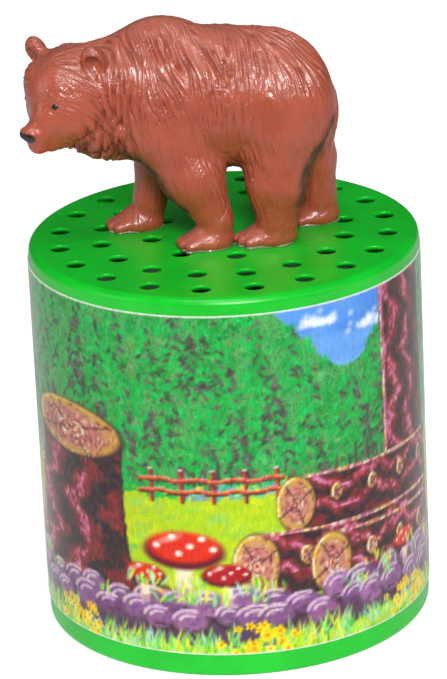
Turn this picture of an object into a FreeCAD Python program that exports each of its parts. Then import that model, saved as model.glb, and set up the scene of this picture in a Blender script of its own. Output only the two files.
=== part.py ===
import FreeCAD, Part
import math
import os
import re
import Sketcher

# Animal noise box: a closed can with a perforated lid, a moulded bear on top and,
# inside, a weighted bellows that sounds a reed when the box is tipped over and set up again.
# Units are millimetres. The origin is the centre of the can's base, +Z is up and the bear
# looks towards -X.

doc = FreeCAD.newDocument("AnimalNoiseBox")
sheet = doc.addObject("Spreadsheet::Sheet", "Sizes")

SIZES = {
    # can, lid and label
    "can_radius": 32.2,
    "can_wall": 1.6,
    "can_height": 61.0,
    "floor_top": 2.0,
    "foot_recess": 0.6,
    "foot_width": 4.2,
    "base_edge_round": 1.0,
    "lid_top": 65.75,
    "lid_plate": 0.9,
    "lid_edge_round": 1.3,
    "plug_wall": 1.37,
    "plug_low": 54.3,
    "press_gap": 0.03,
    "label_low": 4.1,
    "label_high": 63.0,
    "label_film": 0.28,
    "label_gap": 0.02,
    # sound holes of the lid, on three circles
    "hole_radius": 1.5,
    "hole_turn": 9.7,
    "hole_ring_inner": 11.9,
    "hole_ring_middle": 20.3,
    "hole_ring_outer": 27.2,
    # bellows and the base that it is clamped to
    "base_radius": 29.9,
    "seat_radius": 27.0,
    "seat_top": 5.4,
    "groove_floor": 3.8,
    "rib_wall": 0.95,
    "rib_top": 7.0,
    "film": 0.15,
    "bellows_outer": 24.0,
    "bellows_valley": 20.6,
    "bellows_height": 11.0,
    "bellows_flange": 26.8,
    "crest_flat": 1.2,
    "valley_flat": 0.75,
    "clamp_inner": 24.3,
    "clamp_outer": 26.8,
    "clamp_height": 1.2,
    "hoop_radius": 23.3,
    "hoop_wire": 0.25,
    # guide tube, its cap and the pads
    "tube_inner": 27.6,
    "tube_outer": 28.8,
    "tube_top": 50.7,
    "vent_radius": 2.5,
    "vent_height": 12.0,
    "cap_plate": 1.6,
    "cap_hole": 15.5,
    "cap_outer": 30.3,
    "cap_skirt_inner": 28.9,
    "cap_skirt_low": 47.0,
    "foam_inner": 27.0,
    "felt_thick": 3.0,
    "felt_radius": 19.5,
    "top_felt_thick": 2.0,
    "top_felt_inner": 17.0,
    "top_felt_outer": 27.2,
    # weight and its carrier
    "carrier_radius": 27.2,
    "carrier_plate": 2.0,
    "notch_radius": 1.5,
    "foot_rib_inner": 17.0,
    "foot_rib_outer": 18.5,
    "rest_gap": 0.3,
    "hub_radius": 8.0,
    "hub_bore": 6.0,
    "hub_height": 12.0,
    "weight_inner": 8.1,
    "weight_outer": 26.4,
    "weight_thick": 6.0,
    # reed and horn
    "reed_flange": 5.95,
    "reed_flange_thick": 2.0,
    "stem_radius": 3.2,
    "stem_bore": 2.2,
    "stem_low": 13.5,
    "stem_end": 1.0,
    "flat_depth": 2.8,
    "flat_top": 25.5,
    "slot_width": 2.4,
    "slot_low": 15.2,
    "slot_high": 23.2,
    "tongue_gap": 0.3,
    "tongue_thick": 0.15,
    "tongue_width": 3.4,
    "tongue_low": 14.6,
    "tongue_high": 25.3,
    "clip_low": 24.0,
    "clip_high": 25.9,
    "clip_inner": 3.23,
    "clip_outer": 4.3,
    "horn_socket": 8.05,
    "horn_base": 9.3,
    "horn_throat": 3.2,
    "horn_mouth": 13.0,
    "horn_wall": 1.0,
    "horn_height": 8.8,
    # moulded bear, one unit of which is a millimetre, and the glue under its paws
    "bear_unit": 1.0,
    "bear_middle": -1.5,
    "glue_thick": 0.12,
    "glue_margin": 0.1,
}

for row, (alias, value) in enumerate(SIZES.items(), start=1):
    sheet.set(f"A{row}", alias.replace("_", " "))
    sheet.set(f"B{row}", str(value))
    sheet.setAlias(f"B{row}", alias)
doc.recompute()


def cells(formula):
    """A formula in aliases, written as an expression on the sheet."""
    return re.sub(r"[a-z_]+", lambda word: "Sizes." + word.group(0), formula)


def number(formula):
    """The present value of a formula in aliases."""
    value = sheet.evalExpression(cells(formula))
    return float(getattr(value, "Value", value))


def bind(thing, name, formula):
    thing.setExpression(name, cells(formula))


# Bodies that are turned from a profile

def new_body(label):
    body = doc.addObject("PartDesign::Body", label)
    body.Label = label
    return body


def new_sketch(body, name, role):
    sketch = body.newObject("Sketcher::SketchObject", name)
    plane = [part for part in body.Origin.OriginFeatures if part.Role == role][0]
    sketch.AttachmentSupport = [(plane, "")]
    sketch.MapMode = "FlatFace"
    return sketch


START_POINT = 1
CENTRE_POINT = 3


def bind_point(sketch, curve, tag, across, up, point=START_POINT):
    """Fix a line's start or a circle's centre at two formulas, from the sketch's origin."""
    for kind, axis, formula in (("DistanceX", -2, across), ("DistanceY", -1, up)):
        if formula == "0":
            rule = Sketcher.Constraint("PointOnObject", curve, point, axis)
            sketch.addConstraint(rule)
            continue
        rule = Sketcher.Constraint(kind, -1, 1, curve, point, number(formula))
        index = sketch.addConstraint(rule)
        name = f"{tag}_{kind[-1].lower()}"
        sketch.renameConstraint(index, name)
        bind(sketch, f"Constraints.{name}", formula)


def profile(sketch, corners):
    """A closed outline through corners, each a pair of formulas."""
    points = [FreeCAD.Vector(number(across), number(up), 0) for across, up in corners]
    count = len(points)
    for index in range(count):
        sketch.addGeometry(Part.LineSegment(points[index], points[(index + 1) % count]))
    for index in range(count):
        joint = Sketcher.Constraint("Coincident", index, 2, (index + 1) % count, 1)
        sketch.addConstraint(joint)
    for index, (across, up) in enumerate(corners):
        bind_point(sketch, index, f"corner{index}", across, up)


def turned(body, name, corners):
    """Turn a profile of radius and height about the box's axis."""
    sketch = new_sketch(body, name + "Profile", "XZ_Plane")
    profile(sketch, corners)
    turn = body.newObject("PartDesign::Revolution", name)
    turn.Profile = sketch
    turn.ReferenceAxis = (sketch, ["V_Axis"])
    turn.Angle = 360
    doc.recompute()
    return turn


def round_rim(body, feature, name, alias, radius, height):
    """Round the circular edge of one radius and height."""
    names = []
    for index, edge in enumerate(feature.Shape.Edges, start=1):
        curve = edge.Curve
        if not isinstance(curve, Part.Circle):
            continue
        same_radius = abs(curve.Radius - number(radius)) < 0.01
        same_height = abs(curve.Center.z - number(height)) < 0.01
        if same_radius and same_height:
            names.append(f"Edge{index}")
    rounding = body.newObject("PartDesign::Fillet", name)
    rounding.Base = (feature, names)
    rounding.Radius = number(alias)
    bind(rounding, "Radius", alias)
    doc.recompute()
    return rounding


def drill_ring(body, name, role, ring, hole, count, turn="0", up="0", span=360):
    """Round holes through everything, spaced evenly over a span about the box's axis."""
    sketch = new_sketch(body, name + "Circle", role)
    bind(sketch, "AttachmentOffset.Rotation.Angle", turn)
    centre = FreeCAD.Vector(number(ring), number(up), 0)
    sketch.addGeometry(Part.Circle(centre, FreeCAD.Vector(0, 0, 1), number(hole)))
    bind_point(sketch, 0, "centre", ring, up, CENTRE_POINT)
    index = sketch.addConstraint(Sketcher.Constraint("Radius", 0, number(hole)))
    sketch.renameConstraint(index, "hole")
    bind(sketch, "Constraints.hole", hole)
    pocket = body.newObject("PartDesign::Pocket", name)
    pocket.Profile = sketch
    pocket.Type = "ThroughAll"
    pocket.SideType = "Symmetric"
    doc.recompute()
    pattern = body.newObject("PartDesign::PolarPattern", name + "Ring")
    pattern.Originals = [pocket]
    if role == "XY_Plane":
        pattern.Axis = (sketch, ["N_Axis"])
    else:
        pattern.Axis = (sketch, ["V_Axis"])
    pattern.Angle = span
    pattern.Occurrences = count
    body.Tip = pattern
    doc.recompute()
    return pattern


# Pieces made of plain solids

def cylinder(name, radius, low, high):
    solid = doc.addObject("Part::Cylinder", name)
    bind(solid, "Radius", radius)
    bind(solid, "Height", f"({high}) - ({low})")
    bind(solid, "Placement.Base.z", low)
    return solid


def block(name, low, high):
    """A box between two corners, each three formulas."""
    solid = doc.addObject("Part::Box", name)
    for side, axis, start, end in zip(("Length", "Width", "Height"), "xyz", low, high):
        bind(solid, side, f"({end}) - ({start})")
        bind(solid, f"Placement.Base.{axis}", start)
    return solid


def cut(label, base, tool):
    result = doc.addObject("Part::Cut", label)
    result.Base = base
    result.Tool = tool
    return result


def fuse(label, shapes):
    result = doc.addObject("Part::MultiFuse", label)
    result.Shapes = shapes
    return result


def join(name, shapes):
    """Fuse shapes one after another, which curved masses need."""
    result = shapes[0]
    for index, shape in enumerate(shapes[1:]):
        step = doc.addObject("Part::Fuse", f"{name}_{index}")
        step.Base = result
        step.Tool = shape
        result = step
    return result


def ring(label, inner, outer, low, high):
    """A plain ring or tube, cut right through."""
    core = cylinder(label + "_core", inner, f"({low}) - 1", f"({high}) + 1")
    return cut(label, cylinder(label + "_blank", outer, low, high), core)


# The can and what shows outside, apart from the bear

def make_can():
    body = new_body("can_body")
    foot_inner = "can_radius - foot_width"
    inside = "can_radius - can_wall"
    shell = turned(body, "CanShell", [
        ("0", "foot_recess"),
        (foot_inner, "foot_recess"),
        (foot_inner, "0"),
        ("can_radius", "0"),
        ("can_radius", "can_height"),
        (inside, "can_height"),
        (inside, "floor_top"),
        ("0", "floor_top"),
    ])
    round_rim(body, shell, "BaseEdgeRound", "base_edge_round", "can_radius", "0")
    return body


def make_lid():
    body = new_body("lid")
    plug_outer = "can_radius - can_wall - press_gap"
    plug_inner = f"{plug_outer} - plug_wall"
    under = "lid_top - lid_plate"
    plate = turned(body, "LidPlate", [
        ("0", under),
        (plug_inner, under),
        (plug_inner, "plug_low"),
        (plug_outer, "plug_low"),
        (plug_outer, "can_height"),
        ("can_radius", "can_height"),
        ("can_radius", "lid_top"),
        ("0", "lid_top"),
    ])
    round_rim(body, plate, "LidEdgeRound", "lid_edge_round", "can_radius", "lid_top")
    for name, circle, count in (
        ("InnerHoles", "hole_ring_inner", 8),
        ("MiddleHoles", "hole_ring_middle", 16),
        ("OuterHoles", "hole_ring_outer", 20),
    ):
        drill_ring(body, name, "XY_Plane", circle, "hole_radius", count, turn="hole_turn")
    return body


def make_label():
    inner = "can_radius + label_gap"
    return ring("label", inner, f"{inner} + label_film", "label_low", "label_high")


# The voice unit

def make_bellows_base():
    body = new_body("bellows_base")
    rib_inner = "base_radius - rib_wall"
    turned(body, "BaseDisc", [
        ("0", "floor_top"),
        ("base_radius", "floor_top"),
        ("base_radius", "rib_top"),
        (rib_inner, "rib_top"),
        (rib_inner, "groove_floor"),
        ("seat_radius", "groove_floor"),
        ("seat_radius", "seat_top"),
        ("0", "seat_top"),
    ])
    return body


PLEATS = 4


def pleat_turns():
    """Where the film turns, from the lower flange up: radius, height and inner shift."""
    turns = []
    for index in range(PLEATS):
        start = f"seat_top + bellows_height * {index} / {PLEATS}"
        middle = f"seat_top + bellows_height * {index + 0.5} / {PLEATS}"
        end = f"seat_top + bellows_height * {index + 1} / {PLEATS}"
        if index > 0:
            turns.append(("bellows_outer", f"{start} + crest_flat / 2", "- film"))
        turns.append(("bellows_valley", f"{middle} - valley_flat / 2", "- film"))
        turns.append(("bellows_valley", f"{middle} + valley_flat / 2", "+ film"))
        if index < PLEATS - 1:
            turns.append(("bellows_outer", f"{end} - crest_flat / 2", "+ film"))
    return turns


def make_bellows():
    """A pleated film with a flat flange at each end."""
    low = "seat_top"
    high = "seat_top + bellows_height"
    outside = [("bellows_flange", low), ("bellows_flange", f"{low} + film")]
    outside.append(("bellows_outer", f"{low} + film"))
    inside = [("bellows_outer - film", low)]
    for radius, height, shift in pleat_turns():
        outside.append((radius, height))
        inside.append((f"{radius} - film", f"{height} {shift}"))
    outside.append(("bellows_outer", f"{high} - film"))
    outside += [("bellows_flange", f"{high} - film"), ("bellows_flange", high)]
    inside.append(("bellows_outer - film", high))
    body = new_body("bellows")
    turned(body, "Film", outside + inside[::-1])
    return body


def make_hoop(label, share):
    """A wire hoop inside one crest of the film, at its share of the bellows' height."""
    hoop = doc.addObject("Part::Torus", label)
    bind(hoop, "Radius1", "hoop_radius")
    bind(hoop, "Radius2", "hoop_wire")
    bind(hoop, "Placement.Base.z", f"seat_top + bellows_height * {share}")
    return hoop


def make_guide_tube():
    body = new_body("guide_tube")
    turned(body, "Tube", [
        ("tube_inner", "groove_floor"),
        ("tube_outer", "groove_floor"),
        ("tube_outer", "tube_top"),
        ("tube_inner", "tube_top"),
    ])
    drill_ring(body, "Vents", "XZ_Plane", "0", "vent_radius", 2, up="vent_height", span=90)
    return body


def make_tube_cap():
    body = new_body("tube_cap")
    turned(body, "CapPlate", [
        ("cap_hole", "tube_top"),
        ("cap_skirt_inner", "tube_top"),
        ("cap_skirt_inner", "cap_skirt_low"),
        ("cap_outer", "cap_skirt_low"),
        ("cap_outer", "tube_top + cap_plate"),
        ("cap_hole", "tube_top + cap_plate"),
    ])
    return body


CARRIER_LOW = "seat_top + bellows_height"
CARRIER_TOP = "seat_top + bellows_height + carrier_plate"
HUB_TOP = "seat_top + bellows_height + hub_height"


def make_weight_carrier():
    body = new_body("weight_carrier")
    rib_low = "seat_top + felt_thick + rest_gap"
    turned(body, "CarrierPlate", [
        ("hub_bore", CARRIER_LOW),
        ("foot_rib_inner", CARRIER_LOW),
        ("foot_rib_inner", rib_low),
        ("foot_rib_outer", rib_low),
        ("foot_rib_outer", CARRIER_LOW),
        ("carrier_radius", CARRIER_LOW),
        ("carrier_radius", CARRIER_TOP),
        ("hub_radius", CARRIER_TOP),
        ("hub_radius", HUB_TOP),
        ("hub_bore", HUB_TOP),
    ])
    drill_ring(body, "AirNotches", "XY_Plane", "carrier_radius", "notch_radius", 6)
    return body


def make_horn():
    """A socket on the hub that opens into a short flared mouth."""
    body = new_body("horn")
    socket_low = f"{CARRIER_TOP} + weight_thick"
    throat_top = f"{HUB_TOP} + horn_wall * 1.2"
    mouth_top = f"{throat_top} + horn_height"
    turned(body, "HornWall", [
        ("horn_socket", socket_low),
        ("horn_base", socket_low),
        ("horn_base", throat_top),
        ("horn_throat + horn_wall * 1.2", throat_top),
        ("horn_mouth", mouth_top),
        ("horn_mouth - horn_wall", mouth_top),
        ("horn_throat", f"{HUB_TOP} + horn_wall"),
        ("horn_throat", HUB_TOP),
        ("horn_socket", HUB_TOP),
    ])
    return body


def make_reed_block():
    """A flanged stem that hangs in the hub, closed below, with a slot under the reed."""
    flange_low = f"{HUB_TOP} - reed_flange_thick"
    flange = cylinder("reed_flange_disc", "reed_flange", flange_low, HUB_TOP)
    stem = cylinder("reed_stem", "stem_radius", "stem_low", HUB_TOP)
    bore = cylinder("reed_bore", "stem_bore", "stem_low + stem_end", f"{HUB_TOP} + 1")
    flat = block(
        "reed_flat",
        ("0 - clip_outer", "0 - clip_outer", "stem_low - 1"),
        ("clip_outer", "0 - flat_depth", "flat_top"),
    )
    slot = block(
        "reed_slot",
        ("0 - slot_width / 2", "0 - clip_outer", "slot_low"),
        ("slot_width / 2", "0", "slot_high"),
    )
    blank = fuse("reed_blank", [flange, stem])
    return cut("reed_block", blank, fuse("reed_cuts", [bore, flat, slot]))


def make_reed_tongue():
    inner = "0 - flat_depth - tongue_gap"
    return block(
        "reed_tongue",
        ("0 - tongue_width / 2", f"{inner} - tongue_thick", "tongue_low"),
        ("tongue_width / 2", inner, "tongue_high"),
    )


def make_reed_clip():
    """A band round the stem with a pocket for the root of the tongue."""
    room = "tongue_gap / 2"
    pocket = block(
        "clip_pocket",
        (
            f"0 - tongue_width / 2 - {room}",
            f"0 - flat_depth - tongue_gap - tongue_thick - {room}",
            "clip_low - 1",
        ),
        (f"tongue_width / 2 + {room}", "0 - flat_depth + tongue_gap", "clip_high + 1"),
    )
    band = ring("reed_band", "clip_inner", "clip_outer", "clip_low", "clip_high")
    return cut("reed_clip", band, pocket)


# The bear, whose places are given as x, y from its middle plane and z above the lid

# Head pose: turned towards the viewer's side and lowered
HEAD_YAW = 40
HEAD_PITCH = 34
SKULL = (-24.3, -1.7, 26.85)

# Trunk from rump to neck: x, y, middle height, half height and half width
TRUNK = [
    (19.3, 0.0, 20.4, 1.5, 1.2),
    (18.8, 0.0, 20.8, 4.6, 3.4),
    (17.6, 0.0, 21.6, 8.0, 5.6),
    (14.2, 0.0, 22.9, 10.7, 7.4),
    (9.0, 0.0, 24.0, 11.6, 8.4),
    (2.6, 0.0, 24.2, 11.7, 8.6),
    (-3.4, 0.0, 24.5, 11.6, 8.3),
    (-8.8, 0.0, 25.5, 12.6, 8.0),
    (-13.2, 0.0, 25.0, 11.3, 7.5),
    (-17.0, -0.5, 24.2, 10.2, 6.9),
    (-20.6, -1.2, 24.0, 8.6, 6.2),
    (-22.6, -1.6, 24.2, 5.4, 4.4),
]
# Head from nape to nose, in its own frame: ahead, above, half height and half width
HEAD = [
    (-6.4, -0.6, 3.6, 3.5),
    (-4.8, -0.4, 5.8, 5.7),
    (-1.4, -0.4, 6.9, 6.8),
    (2.0, -1.0, 6.7, 6.6),
    (4.7, -1.7, 5.1, 4.9),
    (7.2, -2.3, 3.5, 3.3),
    (10.0, -2.6, 2.9, 2.8),
    (11.7, -2.7, 1.7, 1.6),
]
# Each leg: level rings of x, y, z and radius from inside the flank to the sole, then the
# middle of its paw
LEGS = {
    "near_fore": (
        [
            (-9.2, -3.0, 28.0, 4.0),
            (-9.0, -4.0, 21.5, 5.6),
            (-6.8, -5.2, 15.5, 5.6),
            (-4.0, -6.2, 10.5, 4.7),
            (-1.2, -6.2, 5.0, 3.1),
            (-1.1, -6.1, -0.4, 2.6),
        ],
        (-3.3, -6.2, 1.7),
    ),
    "far_fore": (
        [
            (-9.6, 3.0, 28.0, 4.0),
            (-9.6, 3.8, 21.5, 5.4),
            (-10.2, 4.8, 15.5, 4.8),
            (-11.0, 5.6, 10.5, 3.6),
            (-12.0, 5.4, 5.0, 2.9),
            (-12.6, 4.7, -0.4, 2.5),
        ],
        (-15.0, 4.2, 1.7),
    ),
    "near_hind": (
        [
            (10.4, -3.0, 27.0, 4.4),
            (10.6, -3.9, 21.0, 6.3),
            (9.8, -4.6, 15.0, 6.0),
            (9.2, -5.4, 10.0, 4.7),
            (8.9, -5.7, 4.6, 3.4),
            (8.8, -5.5, -0.4, 2.9),
        ],
        (6.5, -5.7, 1.7),
    ),
    "far_hind": (
        [
            (11.4, 3.0, 27.0, 4.2),
            (12.0, 3.8, 21.0, 6.0),
            (13.8, 4.4, 15.0, 5.0),
            (15.3, 4.9, 10.0, 3.7),
            (16.2, 4.7, 4.6, 2.9),
            (16.2, 4.5, -0.4, 2.6),
        ],
        (14.3, 4.2, 1.7),
    ),
}
PAW = (4.4, 2.8, 2.8)
EAR = (3.3, 2.2, 1.5)
# The sole's middle lies this far behind the paw's
SOLE_BACK = 0.6
# Where a rounded mass has its sections, as shares of its half length
ROUND_STATIONS = (-0.97, -0.8, -0.45, 0.0, 0.45, 0.8, 0.97)


def bear_point(place):
    unit = number("bear_unit")
    middle = number("bear_middle")
    lid = number("lid_top")
    return FreeCAD.Vector(place[0] * unit, middle + place[1] * unit, lid + place[2] * unit)


def head_turn():
    yaw = FreeCAD.Rotation(FreeCAD.Vector(0, 0, 1), 180 + HEAD_YAW)
    pitch = FreeCAD.Rotation(FreeCAD.Vector(0, 1, 0), HEAD_PITCH)
    return yaw * pitch


def head_place(ahead, side, above):
    """A place in the head's own frame, as a place of the bear."""
    offset = head_turn().multVec(FreeCAD.Vector(ahead, side, above))
    return (SKULL[0] + offset.x, SKULL[1] + offset.y, SKULL[2] + offset.z)


def section(name, place, along, long_way, long_radius, short_radius):
    """An ellipse square to a direction, with its long radius in another."""
    ring = doc.addObject("Part::Ellipse", name)
    bind(ring, "MajorRadius", f"bear_unit * {long_radius}")
    bind(ring, "MinorRadius", f"bear_unit * {short_radius}")
    turn = FreeCAD.Rotation(long_way, along.cross(long_way), along, "ZXY")
    ring.Placement = FreeCAD.Placement(bear_point(place), turn)
    return ring


def loft(name, sections):
    body = doc.addObject("Part::Loft", name)
    body.Sections = sections
    body.Solid = True
    return body


def make_trunk():
    """Rump, barrel, hump and neck in one loft."""
    up = FreeCAD.Vector(0, 0, 1)
    ahead = FreeCAD.Vector(-1, 0, 0)
    rings = []
    for index, (across, aside, middle, tall, wide) in enumerate(TRUNK):
        place = (across, aside, middle)
        rings.append(section(f"trunk_ring_{index}", place, ahead, up, tall, wide))
    return loft("trunk", rings)


def make_head():
    """Skull, cheeks and muzzle in one loft along the head's own axis."""
    turn = head_turn()
    along = turn.multVec(FreeCAD.Vector(1, 0, 0))
    crown = turn.multVec(FreeCAD.Vector(0, 0, 1))
    rings = []
    for index, (forward, above, tall, wide) in enumerate(HEAD):
        place = head_place(forward, 0, above)
        rings.append(section(f"head_ring_{index}", place, along, crown, tall, wide))
    return loft("head", rings)


def make_leg(name, stations):
    up = FreeCAD.Vector(0, 0, 1)
    across = FreeCAD.Vector(1, 0, 0)
    rings = []
    for index, (ahead, aside, height, radius) in enumerate(stations):
        place = (ahead, aside, height)
        rings.append(section(f"{name}_ring_{index}", place, up, across, radius, radius))
    return loft(name + "_leg", rings)


def rounded(name, centre, along, long_way, radii):
    """An egg as a loft of ellipses: half length, then long and short radius."""
    rings = []
    for index, share in enumerate(ROUND_STATIONS):
        size = math.sqrt(1 - share * share)
        place = [middle + step * share * radii[0] for middle, step in zip(centre, along)]
        sizes = (radii[1] * size, radii[2] * size)
        rings.append(section(f"{name}_ring_{index}", place, along, long_way, *sizes))
    return loft(name, rings)


def make_paw(name, centre):
    ahead = FreeCAD.Vector(-1, 0, 0)
    return rounded(name + "_paw", centre, ahead, FreeCAD.Vector(0, 1, 0), PAW)


def make_ear(name, side, above):
    """A round ear that stands on the skull and faces forwards."""
    turn = head_turn()
    up = turn.multVec(FreeCAD.Vector(0, 0, 1))
    across = turn.multVec(FreeCAD.Vector(0, 1, 0))
    return rounded(name, head_place(-2.8, side, above), up, across, EAR)


def make_bear():
    masses = [make_trunk(), make_head()]
    for name, (stations, paw) in LEGS.items():
        masses.append(make_leg(name, stations))
        masses.append(make_paw(name, paw))
    masses.append(make_ear("near_ear", 5.5, 3.6))
    masses.append(make_ear("far_ear", -5.5, 3.6))
    whole = join("bear_stage", masses)
    reach = "can_radius * 2"
    ground = block(
        "bear_ground",
        (f"0 - {reach}", f"0 - {reach}", f"lid_top - {reach}"),
        (reach, reach, "lid_top + glue_thick"),
    )
    return cut("bear_figure", whole, ground)


def make_foot_glue():
    """A thin bead of set glue under each paw, a little wider than the sole."""
    beads = []
    for name, (rings, paw) in LEGS.items():
        outline = doc.addObject("Part::Ellipse", name + "_bead_outline")
        bind(outline, "MajorRadius", f"bear_unit * {PAW[0]} + glue_margin")
        bind(outline, "MinorRadius", f"bear_unit * {PAW[1]} + glue_margin")
        centre = bear_point((paw[0] + SOLE_BACK, paw[1], 0))
        outline.Placement = FreeCAD.Placement(centre, FreeCAD.Rotation())
        bead = doc.addObject("Part::Extrusion", name + "_bead")
        bead.Base = outline
        bead.DirMode = "Custom"
        bead.Dir = FreeCAD.Vector(0, 0, 1)
        bind(bead, "LengthFwd", "glue_thick")
        bead.Solid = True
        beads.append(bead)
    group = doc.addObject("Part::Compound", "foot_glue")
    group.Links = beads
    return group


def make_everything():
    cap_top = "tube_top + cap_plate"
    felt_low = "tube_top - top_felt_thick"
    weight_top = f"{CARRIER_TOP} + weight_thick"
    ring_low = "seat_top + film"
    ring_high = "seat_top + bellows_height - film"
    return [
        make_can(),
        make_lid(),
        make_label(),
        make_bear(),
        make_foot_glue(),
        make_bellows_base(),
        make_guide_tube(),
        make_tube_cap(),
        ring("foam_ring", "foam_inner", "cap_outer", cap_top, "plug_low"),
        cylinder("bottom_felt", "felt_radius", "seat_top", "seat_top + felt_thick"),
        ring("top_felt", "top_felt_inner", "top_felt_outer", felt_low, "tube_top"),
        ring("lower_clamp_ring", "clamp_inner", "clamp_outer", ring_low, f"{ring_low} + clamp_height"),
        ring("upper_clamp_ring", "clamp_inner", "clamp_outer", f"{ring_high} - clamp_height", ring_high),
        make_bellows(),
        make_hoop("bellows_hoop_low", 0.25),
        make_hoop("bellows_hoop_middle", 0.5),
        make_hoop("bellows_hoop_high", 0.75),
        make_weight_carrier(),
        ring("weight_ring", "weight_inner", "weight_outer", CARRIER_TOP, weight_top),
        make_horn(),
        make_reed_block(),
        make_reed_tongue(),
        make_reed_clip(),
    ]


pieces = make_everything()
doc.recompute()

for thing in doc.Objects:
    if "Invalid" in thing.State or "Error" in thing.State:
        raise RuntimeError(f"{thing.Label} failed: {thing.State}")

os.makedirs("parts", exist_ok=True)
for piece in pieces:
    shape = piece.Shape
    if shape.isNull() or not shape.isValid():
        raise RuntimeError(f"{piece.Label} has no valid shape")
    shape.exportStep(f"parts/{piece.Label}.step")
    box = shape.BoundBox
    low = f"{box.XMin:.1f} {box.YMin:.1f} {box.ZMin:.1f}"
    high = f"{box.XMax:.1f} {box.YMax:.1f} {box.ZMax:.1f}"
    print(f"{piece.Label}: {len(shape.Solids)} solid(s), {shape.Volume:.1f} mm3, {low} to {high}")
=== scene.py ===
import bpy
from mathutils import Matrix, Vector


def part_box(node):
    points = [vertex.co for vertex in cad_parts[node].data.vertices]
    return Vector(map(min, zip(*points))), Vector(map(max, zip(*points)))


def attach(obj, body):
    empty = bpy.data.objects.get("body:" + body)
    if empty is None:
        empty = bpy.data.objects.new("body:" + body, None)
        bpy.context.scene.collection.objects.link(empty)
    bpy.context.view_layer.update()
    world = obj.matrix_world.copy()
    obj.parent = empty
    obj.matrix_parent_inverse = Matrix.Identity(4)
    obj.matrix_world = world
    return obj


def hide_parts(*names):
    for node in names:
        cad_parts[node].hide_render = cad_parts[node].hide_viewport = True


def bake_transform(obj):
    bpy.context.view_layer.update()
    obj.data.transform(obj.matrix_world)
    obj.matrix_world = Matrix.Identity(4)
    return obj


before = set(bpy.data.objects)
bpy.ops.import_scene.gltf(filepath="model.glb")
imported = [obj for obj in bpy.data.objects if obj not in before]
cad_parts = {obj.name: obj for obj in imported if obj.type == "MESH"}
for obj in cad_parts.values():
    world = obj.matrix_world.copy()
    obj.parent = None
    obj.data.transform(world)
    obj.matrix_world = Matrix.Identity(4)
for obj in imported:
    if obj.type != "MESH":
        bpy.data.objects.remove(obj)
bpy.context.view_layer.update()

import math

import bmesh
import bpy
import numpy as np
from bpy.props import FloatProperty, FloatVectorProperty, IntProperty, PointerProperty
from mathutils import Matrix, Vector
from mathutils.kdtree import KDTree

bl_info = {
    "name": "Animal noise box",
    "version": (1, 0, 0),
    "blender": (4, 5, 0),
    "location": "View3D > Sidebar > Noise box",
    "description": "Dresses a tilt sounder: can, perforated lid, printed label, moulded bear and voice unit",
    "category": "Object",
}

MM = 0.001
LID_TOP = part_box("lid")[1].z / MM
CAN_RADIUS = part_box("can_body")[1].x / MM
LABEL_LOW, LABEL_HIGH = (corner.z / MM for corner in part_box("label"))
LABEL_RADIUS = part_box("label")[1].x / MM
HOLE_TURN = math.radians(9.7)


def paint(red, green, blue, alpha=1.0):
    """An sRGB colour, given as 0 to 255, in the linear values that Blender stores."""
    channels = []
    for value in (red, green, blue):
        share = value / 255
        low = share / 12.92
        high = ((share + 0.055) / 1.055) ** 2.4
        channels.append(low if share <= 0.04045 else high)
    return (*channels, alpha)


def colour_property(name, description, default):
    return FloatVectorProperty(
        name=name, description=description, subtype="COLOR", size=4, min=0, max=1, default=default
    )


def length_property(name, description, millimetres):
    return FloatProperty(
        name=name, description=description, default=millimetres * MM, unit="LENGTH", precision=5
    )


def angle_property(name, description, degrees):
    return FloatProperty(name=name, description=description, default=math.radians(degrees), subtype="ANGLE")


def count_property(name, description, default):
    return IntProperty(name=name, description=description, default=default, min=1)


def share_property(name, description, default):
    return FloatProperty(name=name, description=description, default=default, min=0, max=1, subtype="FACTOR")


class CanSettings(bpy.types.PropertyGroup):
    green: colour_property("Green", "Colour of the moulded can and lid", paint(8, 196, 40))
    roughness: share_property("Roughness", "Roughness of the green plastic", 0.3)
    edge_round: length_property("Edge round", "Rounding of the lid's rim", 1.3)
    hole_radius: length_property("Hole radius", "Radius of the sound holes", 1.6)
    hole_flare: length_property("Hole flare", "Rounding of the sound holes' upper edges", 0.2)
    ring_inner: length_property("Inner circle", "Radius of the inner circle of holes", 11.9)
    ring_middle: length_property("Middle circle", "Radius of the middle circle of holes", 20.3)
    ring_outer: length_property("Outer circle", "Radius of the outer circle of holes", 27.2)
    count_inner: count_property("Inner holes", "Holes on the inner circle", 8)
    count_middle: count_property("Middle holes", "Holes on the middle circle", 16)
    count_outer: count_property("Outer holes", "Holes on the outer circle", 20)


class BearSettings(bpy.types.PropertyGroup):
    vinyl: colour_property("Vinyl", "Colour of the moulded bear", paint(166, 74, 48))
    # Grime colour: dirt together with painted shade in the creases, along contours and in the deeper grooves
    # of tufts
    grime_and_shade: colour_property("Grime", "Colour of the dirt in the deep grooves", paint(74, 42, 22))
    black: colour_property("Black paint", "Colour of the painted eyes and nose", paint(14, 14, 17))
    red: colour_property("Red paint", "Colour of the painted lip", paint(205, 52, 48))
    pitch: length_property("Sculpt pitch", "Spacing of the points of the sculpted skin", 0.2)
    lock_width: length_property("Lock width", "Width of a lock of the modelled fur", 0.8)
    glue: colour_property("Glue", "Colour of the set glue under the paws", paint(226, 226, 206))


class PrintSettings(bpy.types.PropertyGroup):
    film: length_property("Film", "Thickness of the label's film", 0.2)
    overlap: length_property("Overlap", "Length of the glued seam at the back", 6.0)
    seed: IntProperty(name="Seed", description="Seed of the painted strokes", default=11)
    gloss: share_property("Gloss", "Weight of the clear laminate", 0.4)


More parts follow.
